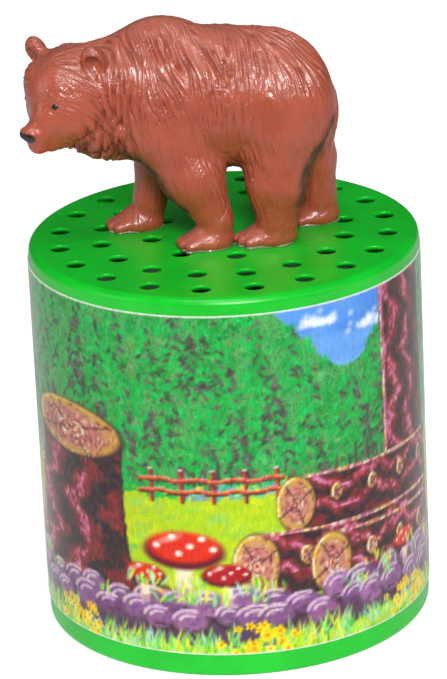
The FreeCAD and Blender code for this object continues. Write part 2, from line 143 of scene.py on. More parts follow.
class StageSettings(bpy.types.PropertyGroup):
    distance: length_property("Camera distance", "From the camera to the point that it looks at", 673.79)
    aim_height: length_property("Aim height", "Height of the point that the camera looks at", 46.67)
    elevation: angle_property("Elevation", "Camera elevation", 20.936)
    roll: angle_property("Roll", "Camera roll", -2.671)
    lens: FloatProperty(name="Lens", description="Focal length in millimetres", default=214.66)
    key: FloatProperty(name="Key light", description="Power of the main lamp in watts", default=6.2, min=0)
    world: FloatProperty(name="World", description="Strength of the surroundings", default=0.18, min=0)
    shine: share_property("Shine", "Share of the white backdrop that glossy surfaces show", 0.05)


SETTINGS = {
    "noise_can": CanSettings,
    "noise_bear": BearSettings,
    "noise_print": PrintSettings,
    "noise_stage": StageSettings,
}


def settings(name):
    return getattr(bpy.context.scene, name)


# Node trees

class Tree:
    """Short calls that add nodes to a shader or geometry tree and link them."""

    def __init__(self, tree):
        self.tree = tree

    def feed(self, socket, value):
        if isinstance(value, bpy.types.NodeSocket):
            self.tree.links.new(value, socket)
        elif value is not None:
            socket.default_value = value

    def fill(self, node, values):
        """Link or set a node's inputs by their names."""
        for name, value in values.items():
            self.feed(node.inputs[name], value)

    def add(self, kind, inputs=None, **options):
        node = self.tree.nodes.new(kind)
        for name, value in options.items():
            setattr(node, name, value)
        self.fill(node, inputs or {})
        return node

    def math(self, operation, first, second=None, third=None, clamp=False):
        node = self.add("ShaderNodeMath", operation=operation, use_clamp=clamp)
        for socket, value in zip(node.inputs, (first, second, third)):
            self.feed(socket, value)
        return node.outputs[0]

    def times(self, first, second):
        return self.math("MULTIPLY", first, second)

    def most(self, first, *others):
        """The largest of some values."""
        for other in others:
            first = self.math("MAXIMUM", first, other)
        return first

    def span(self, value, low, high, start=0.0, end=1.0, smooth=True):
        """Map a value from one span to another, held at both ends."""
        node = self.add("ShaderNodeMapRange", interpolation_type="SMOOTHSTEP" if smooth else "LINEAR")
        names = ("Value", "From Min", "From Max", "To Min", "To Max")
        self.fill(node, dict(zip(names, (value, low, high, start, end))))
        return node.outputs[0]

    def mix(self, share, first, second, blend="MIX"):
        node = self.add("ShaderNodeMix", data_type="RGBA", blend_type=blend)
        self.feed(node.inputs[0], share)
        self.feed(node.inputs[6], first)
        self.feed(node.inputs[7], second)
        return node.outputs[2]

    def noise(self, vector, scale, detail=2.0, rough=0.5):
        inputs = {"Vector": vector, "Scale": scale, "Detail": detail, "Roughness": rough}
        return self.add("ShaderNodeTexNoise", inputs).outputs[0]

    def stretch(self, vector, scale):
        return self.add("ShaderNodeMapping", {"Vector": vector, "Scale": scale}).outputs[0]

    def attribute(self, name, output="Fac"):
        return self.add("ShaderNodeAttribute", attribute_name=name).outputs[output]

    def object_place(self):
        """Object coordinates in millimetres."""
        place = self.add("ShaderNodeTexCoord").outputs["Object"]
        node = self.add("ShaderNodeVectorMath", operation="SCALE")
        self.feed(node.inputs[0], place)
        self.feed(node.inputs["Scale"], 1 / MM)
        return node.outputs[0]

    def bump(self, height, strength, distance):
        inputs = {"Height": height, "Strength": strength, "Distance": distance}
        return self.add("ShaderNodeBump", inputs).outputs[0]

    def group(self, tree, inputs):
        node = self.add("ShaderNodeGroup")
        node.node_tree = tree
        self.fill(node, inputs)
        return node.outputs


def new_group(name, inputs, outputs, kind="ShaderNodeTree"):
    """A node group with named sockets: inputs are name, type and default, outputs name and type."""
    tree = bpy.data.node_groups.new(name, kind)
    for label, socket_type, default in inputs:
        socket = tree.interface.new_socket(name=label, in_out="INPUT", socket_type=socket_type)
        if default is not None:
            socket.default_value = default
    for label, socket_type in outputs:
        tree.interface.new_socket(name=label, in_out="OUTPUT", socket_type=socket_type)
    work = Tree(tree)
    source = tree.nodes.new("NodeGroupInput")
    target = tree.nodes.new("NodeGroupOutput")
    return tree, work, source.outputs, target.inputs


def peel_height(work, place, scale, fine_scale):
    """Orange peel with a finer grain on it."""
    peel = work.noise(place, scale, 2.0, 0.45)
    return work.math("MULTIPLY_ADD", work.noise(place, fine_scale, 1.0), 0.15, peel)


def moulded_skin_group():
    """Fine orange peel, smudges and dust of a moulded surface."""
    inputs = [
        ("Place", "NodeSocketVector", None),
        ("Peel Scale", "NodeSocketFloat", 1.6),
        ("Smudge Scale", "NodeSocketFloat", 0.12),
        ("Dust", "NodeSocketFloat", 0.4),
    ]
    outputs = [("Height", "NodeSocketFloat"), ("Smudge", "NodeSocketFloat"), ("Dust", "NodeSocketFloat")]
    tree, work, source, target = new_group("Moulded skin", inputs, outputs)
    place, scale = source["Place"], source["Peel Scale"]
    speck = work.add("ShaderNodeTexVoronoi", {"Vector": place, "Scale": 0.34})
    near = work.span(speck.outputs["Distance"], 0.02, 0.075, 1.0, 0.0)
    limit = work.math("SUBTRACT", 1.0, work.times(source["Dust"], 0.3))
    chosen = work.math("GREATER_THAN", speck.outputs["Color"], limit)
    work.feed(target["Height"], peel_height(work, place, scale, work.times(scale, 6.0)))
    work.feed(target["Smudge"], work.noise(place, source["Smudge Scale"], 3.0, 0.6))
    work.feed(target["Dust"], work.times(near, chosen))
    return tree


def fibre_group():
    """Short tangled fibres of felt and the open cells of foam."""
    inputs = [
        ("Place", "NodeSocketVector", None),
        ("Scale", "NodeSocketFloat", 3.0),
        ("Cells", "NodeSocketFloat", 0.0),
    ]
    outputs = [("Height", "NodeSocketFloat"), ("Shade", "NodeSocketFloat")]
    tree, work, source, target = new_group("Fibres", inputs, outputs)
    shared = {"Vector": source["Place"], "Scale": source["Scale"]}
    bent = work.add("ShaderNodeTexNoise", {**shared, "Detail": 4.0, "Distortion": 2.4})
    cells = work.add("ShaderNodeTexVoronoi", shared, feature="SMOOTH_F1")
    height = work.math("MULTIPLY_ADD", cells.outputs["Distance"], source["Cells"], bent.outputs[0])
    work.feed(target["Height"], height)
    work.feed(target["Shade"], work.span(height, 0.35, 0.85))
    return tree


def print_group():
    """Painterly strokes, paper tooth and printed grain of a lithographed picture."""
    inputs = [
        ("Place", "NodeSocketVector", None),
        ("Paint", "NodeSocketColor", None),
        ("Foliage", "NodeSocketFloat", 0.0),
    ]
    outputs = [("Color", "NodeSocketColor"), ("Wave", "NodeSocketFloat")]
    tree, work, source, target = new_group("Printed picture", inputs, outputs)
    place = source["Place"]
    tall = work.noise(work.stretch(place, (1.5, 0.5, 1.0)), 1.1, 4.0, 0.68)
    flat = work.noise(place, 3.2, 3.0, 0.7)
    both = work.math("ADD", work.times(tall, 0.6), work.times(flat, 0.4))
    value = work.span(both, 0.32, 0.68, 0.7, 1.16, smooth=False)
    strokes = {"Color": source["Paint"], "Value": value, "Saturation": 1.08}
    shaded = work.add("ShaderNodeHueSaturation", strokes).outputs[0]
    leaf = work.noise(work.stretch(place, (1.1, 0.62, 1.0)), 1.9, 5.0, 0.72)
    for low, high, strength, colour in (
        (0.535, 0.63, 0.7, paint(62, 58, 52)),
        (0.44, 0.33, 0.5, paint(120, 214, 110)),
    ):
        mask = work.times(work.span(leaf, low, high), source["Foliage"])
        shaded = work.mix(work.times(mask, strength), shaded, colour)
    work.feed(target["Color"], shaded)
    work.feed(target["Wave"], work.noise(place, 0.09, 1.0))
    return tree


def new_material(name):
    material = bpy.data.materials.new(name)
    material.use_nodes = True
    work = Tree(material.node_tree)
    shader = material.node_tree.nodes["Principled BSDF"]
    return material, work, shader


def tinted(colour, *shares):
    """A colour with each of its channels changed by a share of its own."""
    return (*(min(1.0, channel * share) for channel, share in zip(colour[:3], shares)), 1.0)


def dress(target, material):
    """Give an object one material in all its slots."""
    data = target.data
    data.materials.clear()
    data.materials.append(material)
    if hasattr(data, "polygons"):
        data.polygons.foreach_set("material_index", [0] * len(data.polygons))


def green_plastic(groups):
    can = settings("noise_can")
    material, work, shader = new_material("green moulded plastic")
    skin = work.group(groups["skin"], {"Place": work.object_place(), "Peel Scale": 0.9, "Dust": 0.06})
    deep = tinted(can.green, 0.88, 0.88, 0.88)
    patchy = work.mix(work.span(skin["Smudge"], 0.36, 0.66), deep, tuple(can.green))
    rough = work.span(skin["Smudge"], 0.3, 0.7, can.roughness - 0.03, can.roughness + 0.04)
    work.fill(shader, {
        "Base Color": work.mix(work.times(skin["Dust"], 0.6), patchy, paint(190, 214, 190)),
        "Roughness": work.math("MULTIPLY_ADD", skin["Dust"], 0.3, rough),
        "Specular IOR Level": 0.45,
        "Subsurface Weight": 0.08,
        "Subsurface Radius": (0.2, 1.0, 0.25),
        "Subsurface Scale": 0.0012,
        "Normal": work.bump(skin["Height"], 0.12, 0.00004),
    })
    return material


def bear_vinyl(groups):
    bear = settings("noise_bear")
    material, work, shader = new_material("painted bear vinyl")
    place = work.object_place()
    skin = work.group(groups["skin"], {"Place": place, "Peel Scale": 1.3, "Smudge Scale": 0.22, "Dust": 0.6})
    groove, grime_and_shade, black = (work.attribute(name) for name in ("groove", "grime_and_shade", "black"))
    light = tinted(bear.vinyl, 1.09, 1.17, 1.27)
    deep = tinted(bear.vinyl, 0.96, 1.01, 1.07)
    body = work.mix(work.span(skin["Smudge"], 0.35, 0.65), deep, light)
    for share, colour in (
        # painted sheen: a lighter pink on skin that faces up, standing in for the lamps' highlights
        (work.attribute("painted_top_sheen"), paint(220, 152, 138)),
        # painted shade: darker in the grooves between the locks and tufts of fur and in the near ear's hollow
        (work.times(groove, 0.75), paint(122, 44, 24)),
        # grime with painted shade along creases, contours and under the throat and belly
        (grime_and_shade, tuple(bear.grime_and_shade)),
        (skin["Dust"], paint(228, 186, 150)),
        (work.attribute("lip"), tuple(bear.red)),
        (black, tuple(bear.black)),
    ):
        body = work.mix(share, body, colour)
    rough = work.span(skin["Smudge"], 0.3, 0.7, 0.3, 0.4)
    for mask, change in ((groove, 0.15), (grime_and_shade, 0.35), (black, -0.12)):
        rough = work.math("MULTIPLY_ADD", mask, change, rough, clamp=True)
    dull = work.times(work.most(groove, grime_and_shade, black), 0.6)
    bare = work.math("SUBTRACT", 1.0, black)
    hair = work.math("SINE", work.times(work.attribute("hair"), 4.5))
    coat_height = work.math("MULTIPLY_ADD", hair, 0.3, peel_height(work, place, 1.3, 7.8))
    lines = work.times(hair, work.attribute("hairy"))
    height = work.math("MULTIPLY_ADD", lines, 0.4, work.times(skin["Height"], 0.5))
    work.fill(shader, {
        "Base Color": body,
        "Roughness": rough,
        "Specular IOR Level": 0.48,
        "Specular Tint": (1.0, 0.93, 1.0, 1.0),
        "Coat Roughness": 0.22,
        "Coat Weight": work.times(work.attribute("glossy"), work.math("SUBTRACT", 0.85, dull)),
        "Coat Normal": work.bump(work.times(coat_height, bare), 0.35, 0.0001),
        "Subsurface Weight": 0.06,
        "Subsurface Radius": (1.0, 0.35, 0.2),
        "Subsurface Scale": 0.0006,
        "Normal": work.bump(work.times(height, bare), 0.8, 0.0001),
    })
    return material


def glue_material(groups):
    bear = settings("noise_bear")
    material, work, shader = new_material("set clear glue")
    skin = work.group(groups["skin"], {"Place": work.object_place(), "Peel Scale": 2.2, "Smudge Scale": 0.7})
    yellow = paint(214, 208, 140)
    work.fill(shader, {
        "Base Color": work.mix(work.span(skin["Smudge"], 0.4, 0.7), tuple(bear.glue), yellow),
        "Roughness": work.span(skin["Smudge"], 0.3, 0.7, 0.15, 0.35),
        "Transmission Weight": 0.7,
        "IOR": 1.47,
        "Normal": work.bump(skin["Height"], 0.3, 0.0001),
    })
    return material


def label_material(groups):
    label = settings("noise_print")
    material, work, shader = new_material("laminated print")
    place = work.add("ShaderNodeUVMap", uv_map="print").outputs[0]
    art = work.group(groups["print"], {
        "Place": work.stretch(place, (UV_MM, UV_MM, 1.0)),
        "Paint": work.attribute("paint", "Color"),
        "Foliage": work.attribute("foliage"),
    })
    wave = art["Wave"]
    work.fill(shader, {
        "Base Color": work.mix(work.attribute("edge"), art["Color"], paint(238, 240, 236)),
        "Roughness": work.span(wave, 0.35, 0.65, 0.24, 0.32),
        "Specular IOR Level": 0.2,
        "Coat Roughness": 0.12,
        "Coat Weight": work.times(work.span(wave, 0.2, 0.8, 0.9, 1.0), label.gloss),
        "Normal": work.bump(wave, 0.2, 0.0006),
    })
    return material


def plain_material(groups, name, light, dark, rough, metal=0.0, peel=1.0, brushed=False, clear=0.0):
    """Moulded plastic or drawn metal for the pieces inside the can."""
    material, work, shader = new_material(name)
    place = work.object_place()
    if brushed:
        place = work.stretch(place, (1.0, 1.0, 9.0))
    skin = work.group(groups["skin"], {"Place": place, "Peel Scale": peel, "Smudge Scale": 0.25})
    share = work.span(skin["Smudge"], 0.35, 0.65)
    work.fill(shader, {
        "Base Color": work.mix(share, paint(*dark), paint(*light)),
        "Roughness": work.span(skin["Height"], 0.3, 0.8, rough - 0.06, rough + 0.08),
        "Metallic": metal,
        "Normal": work.bump(skin["Height"], 0.15, 0.00008),
    })
    if clear:
        work.fill(shader, {"Transmission Weight": clear, "IOR": 1.5})
    return material


def soft_material(groups, name, light, dark, scale, cells):
    """Pressed felt or open foam."""
    material, work, shader = new_material(name)
    fibre = work.group(groups["fibre"], {"Place": work.object_place(), "Scale": scale, "Cells": cells})
    work.fill(shader, {
        "Base Color": work.mix(fibre["Shade"], paint(*dark), paint(*light)),
        "Roughness": work.span(fibre["Height"], 0.3, 0.9, 0.85, 1.0),
        "Sheen Weight": 0.4,
        "Normal": work.bump(fibre["Height"], 0.6, 0.0003),
    })
    return material


# Mesh helpers

def mesh_object(name, points, faces, smooth=True):
    """An object from points in millimetres and faces."""
    mesh = bpy.data.meshes.new(name)
    scaled = np.asarray(points, float) * MM
    mesh.from_pydata(scaled.tolist(), [], [tuple(face) for face in faces])
    mesh.validate()
    if smooth:
        mesh.shade_smooth()
    piece = bpy.data.objects.new(name, mesh)
    bpy.context.scene.collection.objects.link(piece)
    return piece


def settle(piece, body, replaced):
    """Put a finished piece on the body that it rides on and hide the parts that it replaces."""
    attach(piece, body)
    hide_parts(*replaced)


def set_sharp(mesh, degrees):
    """Keep folds sharp that bend by more than an angle."""
    mesh.set_sharp_from_angle(angle=math.radians(degrees))


def sharpen(piece, degrees):
    """Keep folds sharp and let the larger faces set the normals."""
    mesh = piece.data
    work = bmesh.new()
    work.from_mesh(mesh)
    bmesh.ops.remove_doubles(work, verts=work.verts, dist=0.000001)
    limit = math.radians(degrees)
    for edge in work.edges:
        edge.smooth = len(edge.link_faces) == 2 and edge.calc_face_angle(0.0) < limit
    work.to_mesh(mesh)
    work.free()
    modifier = piece.modifiers.new("Weighted normals", "WEIGHTED_NORMAL")
    modifier.keep_sharp = True
    modifier.weight = 100


def arc(centre, radius, start, end, steps):
    """Points of an arc in a profile, with angles in degrees."""
    angles = np.radians(np.linspace(start, end, steps))
    return [(centre[0] + radius * math.cos(a), centre[1] + radius * math.sin(a)) for a in angles]


def lathe(name, profile, steps=144):
    """Turn a profile of radius and height about the box's axis: closed, or from axis to axis."""
    closed = profile[0][0] > 0
    count = len(profile)
    points = []
    faces = []
    turns = 2 * math.pi * np.arange(steps) / steps
    for turn in turns:
        for radius, height in profile:
            points.append((radius * math.cos(turn), radius * math.sin(turn), height))
    last = count if closed else count - 1
    for step in range(steps):
        here = step * count
        there = (step + 1) % steps * count
        for index in range(last):
            after = (index + 1) % count
            faces.append((here + index, there + index, there + after, here + after))
    piece = mesh_object(name, points, faces)
    work = bmesh.new()
    work.from_mesh(piece.data)
    bmesh.ops.remove_doubles(work, verts=work.verts, dist=0.0000005)
    bmesh.ops.recalc_face_normals(work, faces=work.faces)
    work.to_mesh(piece.data)
    work.free()
    return piece


# Sculpting of the bear: all lengths are millimetres from a point on the lid, below the bear's middle

BEAR_ORIGIN = np.array([0.0, -1.5, LID_TOP])
HEAD_YAW = math.radians(40)
HEAD_PITCH = math.radians(34)
SKULL = np.array([-24.3, -1.7, 26.85])
AHEAD = np.array([
    -math.cos(HEAD_YAW) * math.cos(HEAD_PITCH),
    -math.sin(HEAD_YAW) * math.cos(HEAD_PITCH),
    -math.sin(HEAD_PITCH),
])
NEAR = np.array([math.sin(HEAD_YAW), -math.cos(HEAD_YAW), 0.0])
CROWN = np.cross(AHEAD, NEAR)
HEAD_AXES = np.stack([AHEAD, NEAR, CROWN])

# An egg is its middle, its radii and how softly it joins; a limb is two ends, their radii,
# how softly it joins and its width as a share of its height
TORSO = [
    ("limb", (-9.5, 0, 24.85), (0, 0, 23.85), 10.4, 11.3, 2.0, 0.74),
    ("limb", (0, 0, 23.85), (6.6, 0, 24.25), 11.3, 10.7, 2.0, 0.78),
    ("egg", (9.4, 0, 22.85), (9.2, 7.6, 10.8), 2.0),
    ("egg", (-8.8, 0, 30.75), (7.6, 5.2, 7.0), 2.0),
    ("limb", (-12, 0, 26.65), (-20.3, -1.0, 26.2), 8.5, 7.7, 2.5, 0.86),
    ("egg", (-12.3, 0, 20.7), (5.6, 6.5, 7.2), 2.0),
    ("egg", (-18.0, -1.1, 21.25), (6.2, 6.0, 6.6), 2.0),
    ("limb", (-15.5, -0.9, 19.6), (-25.8, -4.0, 20.2), 3.4, 2.3, 2.0, 1.0),
    ("egg", (10.6, -3.2, 22.2), (8.6, 6.0, 9.2), 2.0),
    ("egg", (11.4, 3.4, 19.25), (8.0, 5.4, 9.8), 2.0),
    ("egg", (-8.6, -3.6, 23.0), (6.8, 5.4, 8.6), 2.0),
    ("egg", (-9.4, 3.8, 21.75), (7.0, 5.0, 9.2), 2.0),
    ("egg", (18.4, 0.2, 20.6), (1.2, 1.6, 4.4), 0.9),
    ("limb", (-8.2, -4.3, 18.75), (-4.4, -5.2, 11.75), 5.8, 5.0, 1.6, 0.82),
    ("limb", (-4.4, -5.3, 11.75), (-1.0, -5.9, 4.75), 4.8, 2.9, 1.4, 0.84),
    ("limb", (-9.0, 4.3, 18.75), (-10.4, 5.9, 11.25), 5.0, 3.5, 1.6, 1.0),
    ("limb", (-10.4, 5.9, 11.25), (-11.8, 5.5, 4.75), 3.3, 2.9, 1.4, 1.0),
    ("limb", (9.6, -3.8, 17.25), (9.0, -5.0, 10.25), 6.8, 4.8, 1.6, 0.8),
    ("limb", (9.0, -5.0, 10.25), (8.9, -5.2, 4.25), 4.5, 3.4, 1.4, 0.9),
    ("limb", (12.4, 3.9, 18.25), (15.2, 4.9, 11.25), 6.6, 3.9, 1.6, 1.0),
    ("limb", (15.2, 4.9, 11.25), (16.2, 4.7, 4.25), 3.7, 2.9, 1.4, 1.0),
]
# In the head's own frame: ahead, to the near side and towards the crown
EYE = (4.98, 3.78, 2.18)
HEAD_FORMS = [
    ("egg", (0, 0, 0), (6.9, 6.4, 6.2), 1.5),
    ("egg", (0.9, 0.1, 1.6), (4.6, 5.0, 4.2), 1.8),
    ("egg", (1.2, -2.5, 3.6), (2.5, 2.5, 2.7), 1.2),
    ("egg", (-3.6, -3.4, 2.5), (3.0, 2.6, 1.0), 1.5),
    ("egg", (-2.8, -4.9, 3.1), (1.3, 1.3, 1.3), 1.0),
    ("egg", (1.6, 3.4, -2.6), (5.2, 3.6, 4.4), 1.5),
    ("egg", (1.6, -3.4, -2.6), (5.2, 3.6, 4.4), 1.5),
    ("limb", (4.0, 0.7, -1.8), (8.4, 0.35, -1.5), 4.0, 2.5, 1.6, 1.0),
    ("egg", (9.95, 0.2, -0.2), (1.25, 1.9, 1.35), 0.5),
    ("limb", (4.0, 0.5, -3.9), (7.6, 0.5, -3.6), 3.2, 2.2, 1.0, 1.0),
    ("egg", (9.65, 0.3, -2.8), (1.7, 1.9, 1.7), 0.5),
    ("egg", (5.5, 1.4, 0.4), (2.6, 2.4, 2.3), 1.5),
    ("egg", (5.0, 3.9, 1.3), (0.75, 0.5, 0.35), 0.25),
]
HEAD_CARVINGS = [
    ("egg", (6.6, 4.7, 2.6), (1.3, 0.8, 0.8), 0.9),
    ("egg", (6.9, -4.6, 2.2), (1.9, 1.5, 1.5), 0.9),
    ("egg", (11.1, 1.0, -0.5), (0.4, 0.26, 0.24), 0.15),
    ("egg", (11.1, -0.6, -0.5), (0.4, 0.26, 0.24), 0.15),
]
EYEBALLS = [
    ("egg", EYE, (0.56, 0.56, 0.48), 0.1),
    ("egg", (4.5, -4.6, 1.2), (0.5, 0.5, 0.4), 0.1),
]
# An ear is the middle of its lobe, the way its hollow faces, and its thickness, breadth and height
EARS = [
    ((-4.1, 6.5, 4.3), (0.5, 0.8, 0.3), (1.4, 2.05, 2.45)),
    ((-2.8, -7.4, 3.8), (0.75, 0.3, 0.3), (1.5, 1.9, 2.7)),
]
# A paw is its heel's and its toes' ends along the body, its middle plane, half its width and its toes' slant
PAWS = [
    (1.6, -7.8, -5.5, 3.5, 0.10),
    (-9.8, -19.4, 5.3, 3.3, 0.16),
    (12.0, 1.7, -4.9, 3.3, 0.06),
    (19.2, 10.0, 4.6, 3.2, 0.0),
]
TOES = (-1.0, -0.54, -0.04, 0.48, 0.96)


def egg_distance(points, centre, radii):
    away = points - np.array(centre, np.float32)
    radii = np.array(radii, np.float32)
    near = np.sqrt(((away / radii) ** 2).sum(-1))
    steep = np.sqrt(((away / radii**2) ** 2).sum(-1))
    return near * (near - 1) / np.maximum(steep, 1e-6)


def limb_distance(points, start, end, start_radius, end_radius, width):
    squeeze = np.array([1, 1 / width, 1], np.float32)
    along = (np.array(end, np.float32) - np.array(start, np.float32)) * squeeze
    away = (points - np.array(start, np.float32)) * squeeze
    share = np.clip((away @ along) / (along @ along), 0, 1)
    radius = start_radius + (end_radius - start_radius) * share
    return (np.linalg.norm(away - share[:, None] * along, axis=-1) - radius) * min(1.0, width)


def form_distance(points, form):
    if form[0] == "egg":
        return egg_distance(points, form[1], form[2]), form[3]
    return limb_distance(points, *form[1:5], form[6]), form[5]


def join_soft(first, second, soft):
    overlap = np.maximum(soft - np.abs(first - second), 0) / soft
    return np.minimum(first, second) - overlap * overlap * soft * 0.25


def carve_soft(solid, hollow, soft):
    return -join_soft(-solid, hollow, soft)


def ear_distance(points, centre, facing, size):
    """A thick round lobe with a hollow that is open towards the head's front."""
    front = np.array(facing) / np.linalg.norm(facing)
    across = np.cross((0, 0, 1), front)
    across /= np.linalg.norm(across)
    axes = np.stack([front, across, np.cross(front, across)])
    local = (points - np.array(centre, np.float32)) @ axes.T.astype(np.float32)
    thick, broad, tall = size
    middle = (thick * 1.1, -broad * 0.4, -tall * 0.35)
    hollow = egg_distance(local, middle, (thick * 1.15, broad * 0.9, tall * 0.9))
    return carve_soft(egg_distance(local, (0, 0, 0), size), hollow, 0.2)


def paws():
    """Flat paws: a sole, a rounded instep and five toes with grooves between them."""
    forms = []
    for heel, tip, aside, half, slant in PAWS:
        middle, reach = (heel + tip) / 2, (heel - tip) / 2
        forms.append(("egg", (middle + 0.5, aside, 1.1), (reach - 0.6, half * 0.93, 1.8), 0.8))
        forms.append(("egg", (middle + 1.3, aside, 1.9), (reach * 0.72, half * 0.78, 2.2), 1.3))
        for share in TOES:
            across = aside + half * 0.8 * share
            front = tip + 0.9 + 1.9 * share * share + slant * half * share
            knuckle = (front + 2.3, aside + half * 0.66 * share, 1.7 - 0.2 * share * share)
            forms.append(("limb", knuckle, (front, across, 0.95), 0.86, 0.84, 0.5, 1.0))
    return forms


def bear_field(points):
    """Signed distance from the bear's skin, negative inside."""
    points = np.asarray(points, np.float32)
    headed = (points - SKULL.astype(np.float32)) @ HEAD_AXES.T.astype(np.float32)
    total = None
    for group, frame_points in ((TORSO + paws(), points), (HEAD_FORMS, headed)):
        for form in group:
            distance, soft = form_distance(frame_points, form)
            total = distance if total is None else join_soft(total, distance, soft)
    for form in HEAD_CARVINGS:
        distance, soft = form_distance(headed, form)
        total = carve_soft(total, distance, soft)
    for form in EYEBALLS:
        distance, soft = form_distance(headed, form)
        total = join_soft(total, distance, soft)
    for centre, facing, size in EARS:
        total = join_soft(total, ear_distance(headed, centre, facing, size), 0.7)
    return np.maximum(total, 0.02 - points[:, 2])


# Points along a block's side, and blocks that are sampled in one go
BLOCK = 8
BATCH = 120
CORNERS = [np.array([corner & 1, corner >> 1 & 1, corner >> 2 & 1]) for corner in range(8)]


def between_corners(base, share, values, wrap=None):
    """Values between the corners of the cells that places lie in."""
    total = 0
    for bits in CORNERS:
        weight = np.where(bits, share, 1 - share).prod(-1)
        cell = base + bits if wrap is None else (base + bits) % wrap
        total = total + weight * values[tuple(cell.T)]
    return total


class Grid:
    """A field sampled near its zero level, block by block."""

    def __init__(self, field, low, high, pitch):
        self.low = np.array(low, float)
        self.pitch = pitch
        side = pitch * BLOCK
        blocks = np.ceil((np.array(high) - self.low) / side).astype(int)
        self.count = blocks * BLOCK
        numbers = np.stack(np.meshgrid(*map(np.arange, blocks), indexing="ij"), -1)
        middle = self.low + (numbers + 0.5) * pitch * BLOCK
        coarse = field(middle.reshape(-1, 3)).reshape(blocks)
        self.values = coarse.astype(np.float32)
        for axis in range(3):
            self.values = np.repeat(self.values, BLOCK, axis)
        close = np.argwhere(np.abs(coarse) < side * 1.25)
        offsets = np.stack(np.meshgrid(*[np.arange(BLOCK)] * 3, indexing="ij"), -1).reshape(-1, 3)
        for start in range(0, len(close), BATCH):
            cells = (close[start:start + BATCH, None] * BLOCK + offsets).reshape(-1, 3)
            self.values[tuple(cells.T)] = field(self.low + cells * pitch)

    def sample(self, points):
        """The field between grid points."""
        place = (points - self.low) / self.pitch
        base = np.clip(np.floor(place).astype(int), 0, self.count - 2)
        return between_corners(base, (place - base).astype(np.float32), self.values)

    def slope(self, points):
        parts = []
        for axis in range(3):
            shift = np.zeros(3)
            shift[axis] = self.pitch
            parts.append(self.sample(points + shift) - self.sample(points - shift))
        slope = np.stack(parts, -1)
        return slope / np.maximum(np.linalg.norm(slope, axis=-1, keepdims=True), 1e-9)

    def skin(self):
        """Points and quads round the zero level, one point in each crossed cell."""
        inside = self.values < 0
        crossed = np.zeros(self.count - 1, np.uint8)
        for bits in CORNERS:
            crossed += inside[tuple(slice(bit, size - 1 + bit) for bit, size in zip(bits, self.count))]
        cells = np.argwhere((crossed > 0) & (crossed < 8))
        number = np.full(crossed.shape, -1, np.int64)
        number[tuple(cells.T)] = np.arange(len(cells))
        total = np.zeros((len(cells), 3))
        hits = np.zeros(len(cells))
        for axis in range(3):
            others = [other for other in range(3) if other != axis]
            for shifts in ((0, 0), (0, 1), (1, 0), (1, 1)):
                start = cells.copy()
                start[:, others] += shifts
                end = start.copy()
                end[:, axis] += 1
                here = self.values[tuple(start.T)]
                there = self.values[tuple(end.T)]
                cross = (here < 0) != (there < 0)
                share = here / np.where(cross, here - there, 1)
                place = start + share[:, None] * (end - start)
                total[cross] += place[cross]
                hits[cross] += 1
        points = self.low + total / hits[:, None] * self.pitch
        faces = []
        for axis in range(3):
            second, third = (axis + 1) % 3, (axis + 2) % 3
            body = [slice(1, -1)] * 3
            ahead = [slice(1, -1)] * 3
            body[axis] = slice(0, -1)
            ahead[axis] = slice(1, None)
            base = np.argwhere(inside[tuple(body)] != inside[tuple(ahead)])
            base += np.array([0 if index == axis else 1 for index in range(3)])
            corners = []
            for back_second, back_third in ((0, 0), (1, 0), (1, 1), (0, 1)):
                cell = base.copy()
                cell[:, second] -= back_second
                cell[:, third] -= back_third
                corners.append(number[tuple(cell.T)])
            quads = np.stack(corners, -1)
            outward = inside[tuple(base.T)]
            quads[~outward] = quads[~outward][:, ::-1]
            faces.append(quads)
        return points, np.concatenate(faces)


def relax(points, faces, rounds):
    """Draw each point halfway towards its neighbours."""
    ends = np.concatenate([faces[:, [corner, (corner + 1) % 4]] for corner in range(4)])
    number = np.bincount(ends[:, 0], minlength=len(points)) + np.bincount(ends[:, 1], minlength=len(points))
    for _ in range(rounds):
        total = np.stack([
            np.bincount(ends[:, 0], points[ends[:, 1], axis], len(points))
            + np.bincount(ends[:, 1], points[ends[:, 0], axis], len(points))
            for axis in range(points.shape[1])
        ], -1)
        points = points + (total / number[:, None] - points) * 0.5
    return points


def lattice_noise(points, seed):
    """Smooth random values from -1 to 1, one lattice step to a unit."""
    size = 64
    table = np.random.default_rng(seed).uniform(-1, 1, (size, size, size)).astype(np.float32)
    base = np.floor(points).astype(int)
    share = (points - base).astype(np.float32)
    return between_corners(base, share * share * (3 - 2 * share), table, size)


# Turns the noise's lattice away from the axes
TILT = np.array([[0.36, 0.48, -0.8], [-0.8, 0.6, 0.0], [0.48, 0.64, 0.6]])


def tilted_noise(points, size, seed):
    """Noise with lumps of about a size in millimetres."""
    return lattice_noise(points @ TILT / size, seed)


def regions(breadth, rows):
    """Regions across the whole body: place ahead and height, radii ahead and in height, values."""
    return [((x, 0, z), (wide, breadth, tall), values) for x, z, wide, tall, *values in rows]


def by_region(points, table):
    """Blend the values of a table of regions, each a middle, radii and values."""
    total = 0
    weights = 1e-9
    for centre, radii, values in table:
        away = (points - np.array(centre)) / np.array(radii)
        weight = np.exp(-(away**2).sum(-1) * 1.6)
        total = total + weight[:, None] * np.array(values, float)
        weights = weights + weight
    return total / np.asarray(weights)[..., None]


def egg_reach(points, centre, radii):
    """How far out places lie, as a share of an egg's radii."""
    return np.linalg.norm((points - np.array(centre)) / np.array(radii), axis=-1)


def egg_glow(points, centre, radii):
    """One at an egg's middle, fading away round it."""
    return np.exp(-(((points - np.array(centre)) / np.array(radii)) ** 2).sum(-1))


def ramp(value, slope):
    """A value times its slope, held between 0 and 1."""
    return np.clip(value * slope, 0, 1)


def in_head(points):
    """Places in the head's own frame."""
    return (points - SKULL) @ HEAD_AXES.T


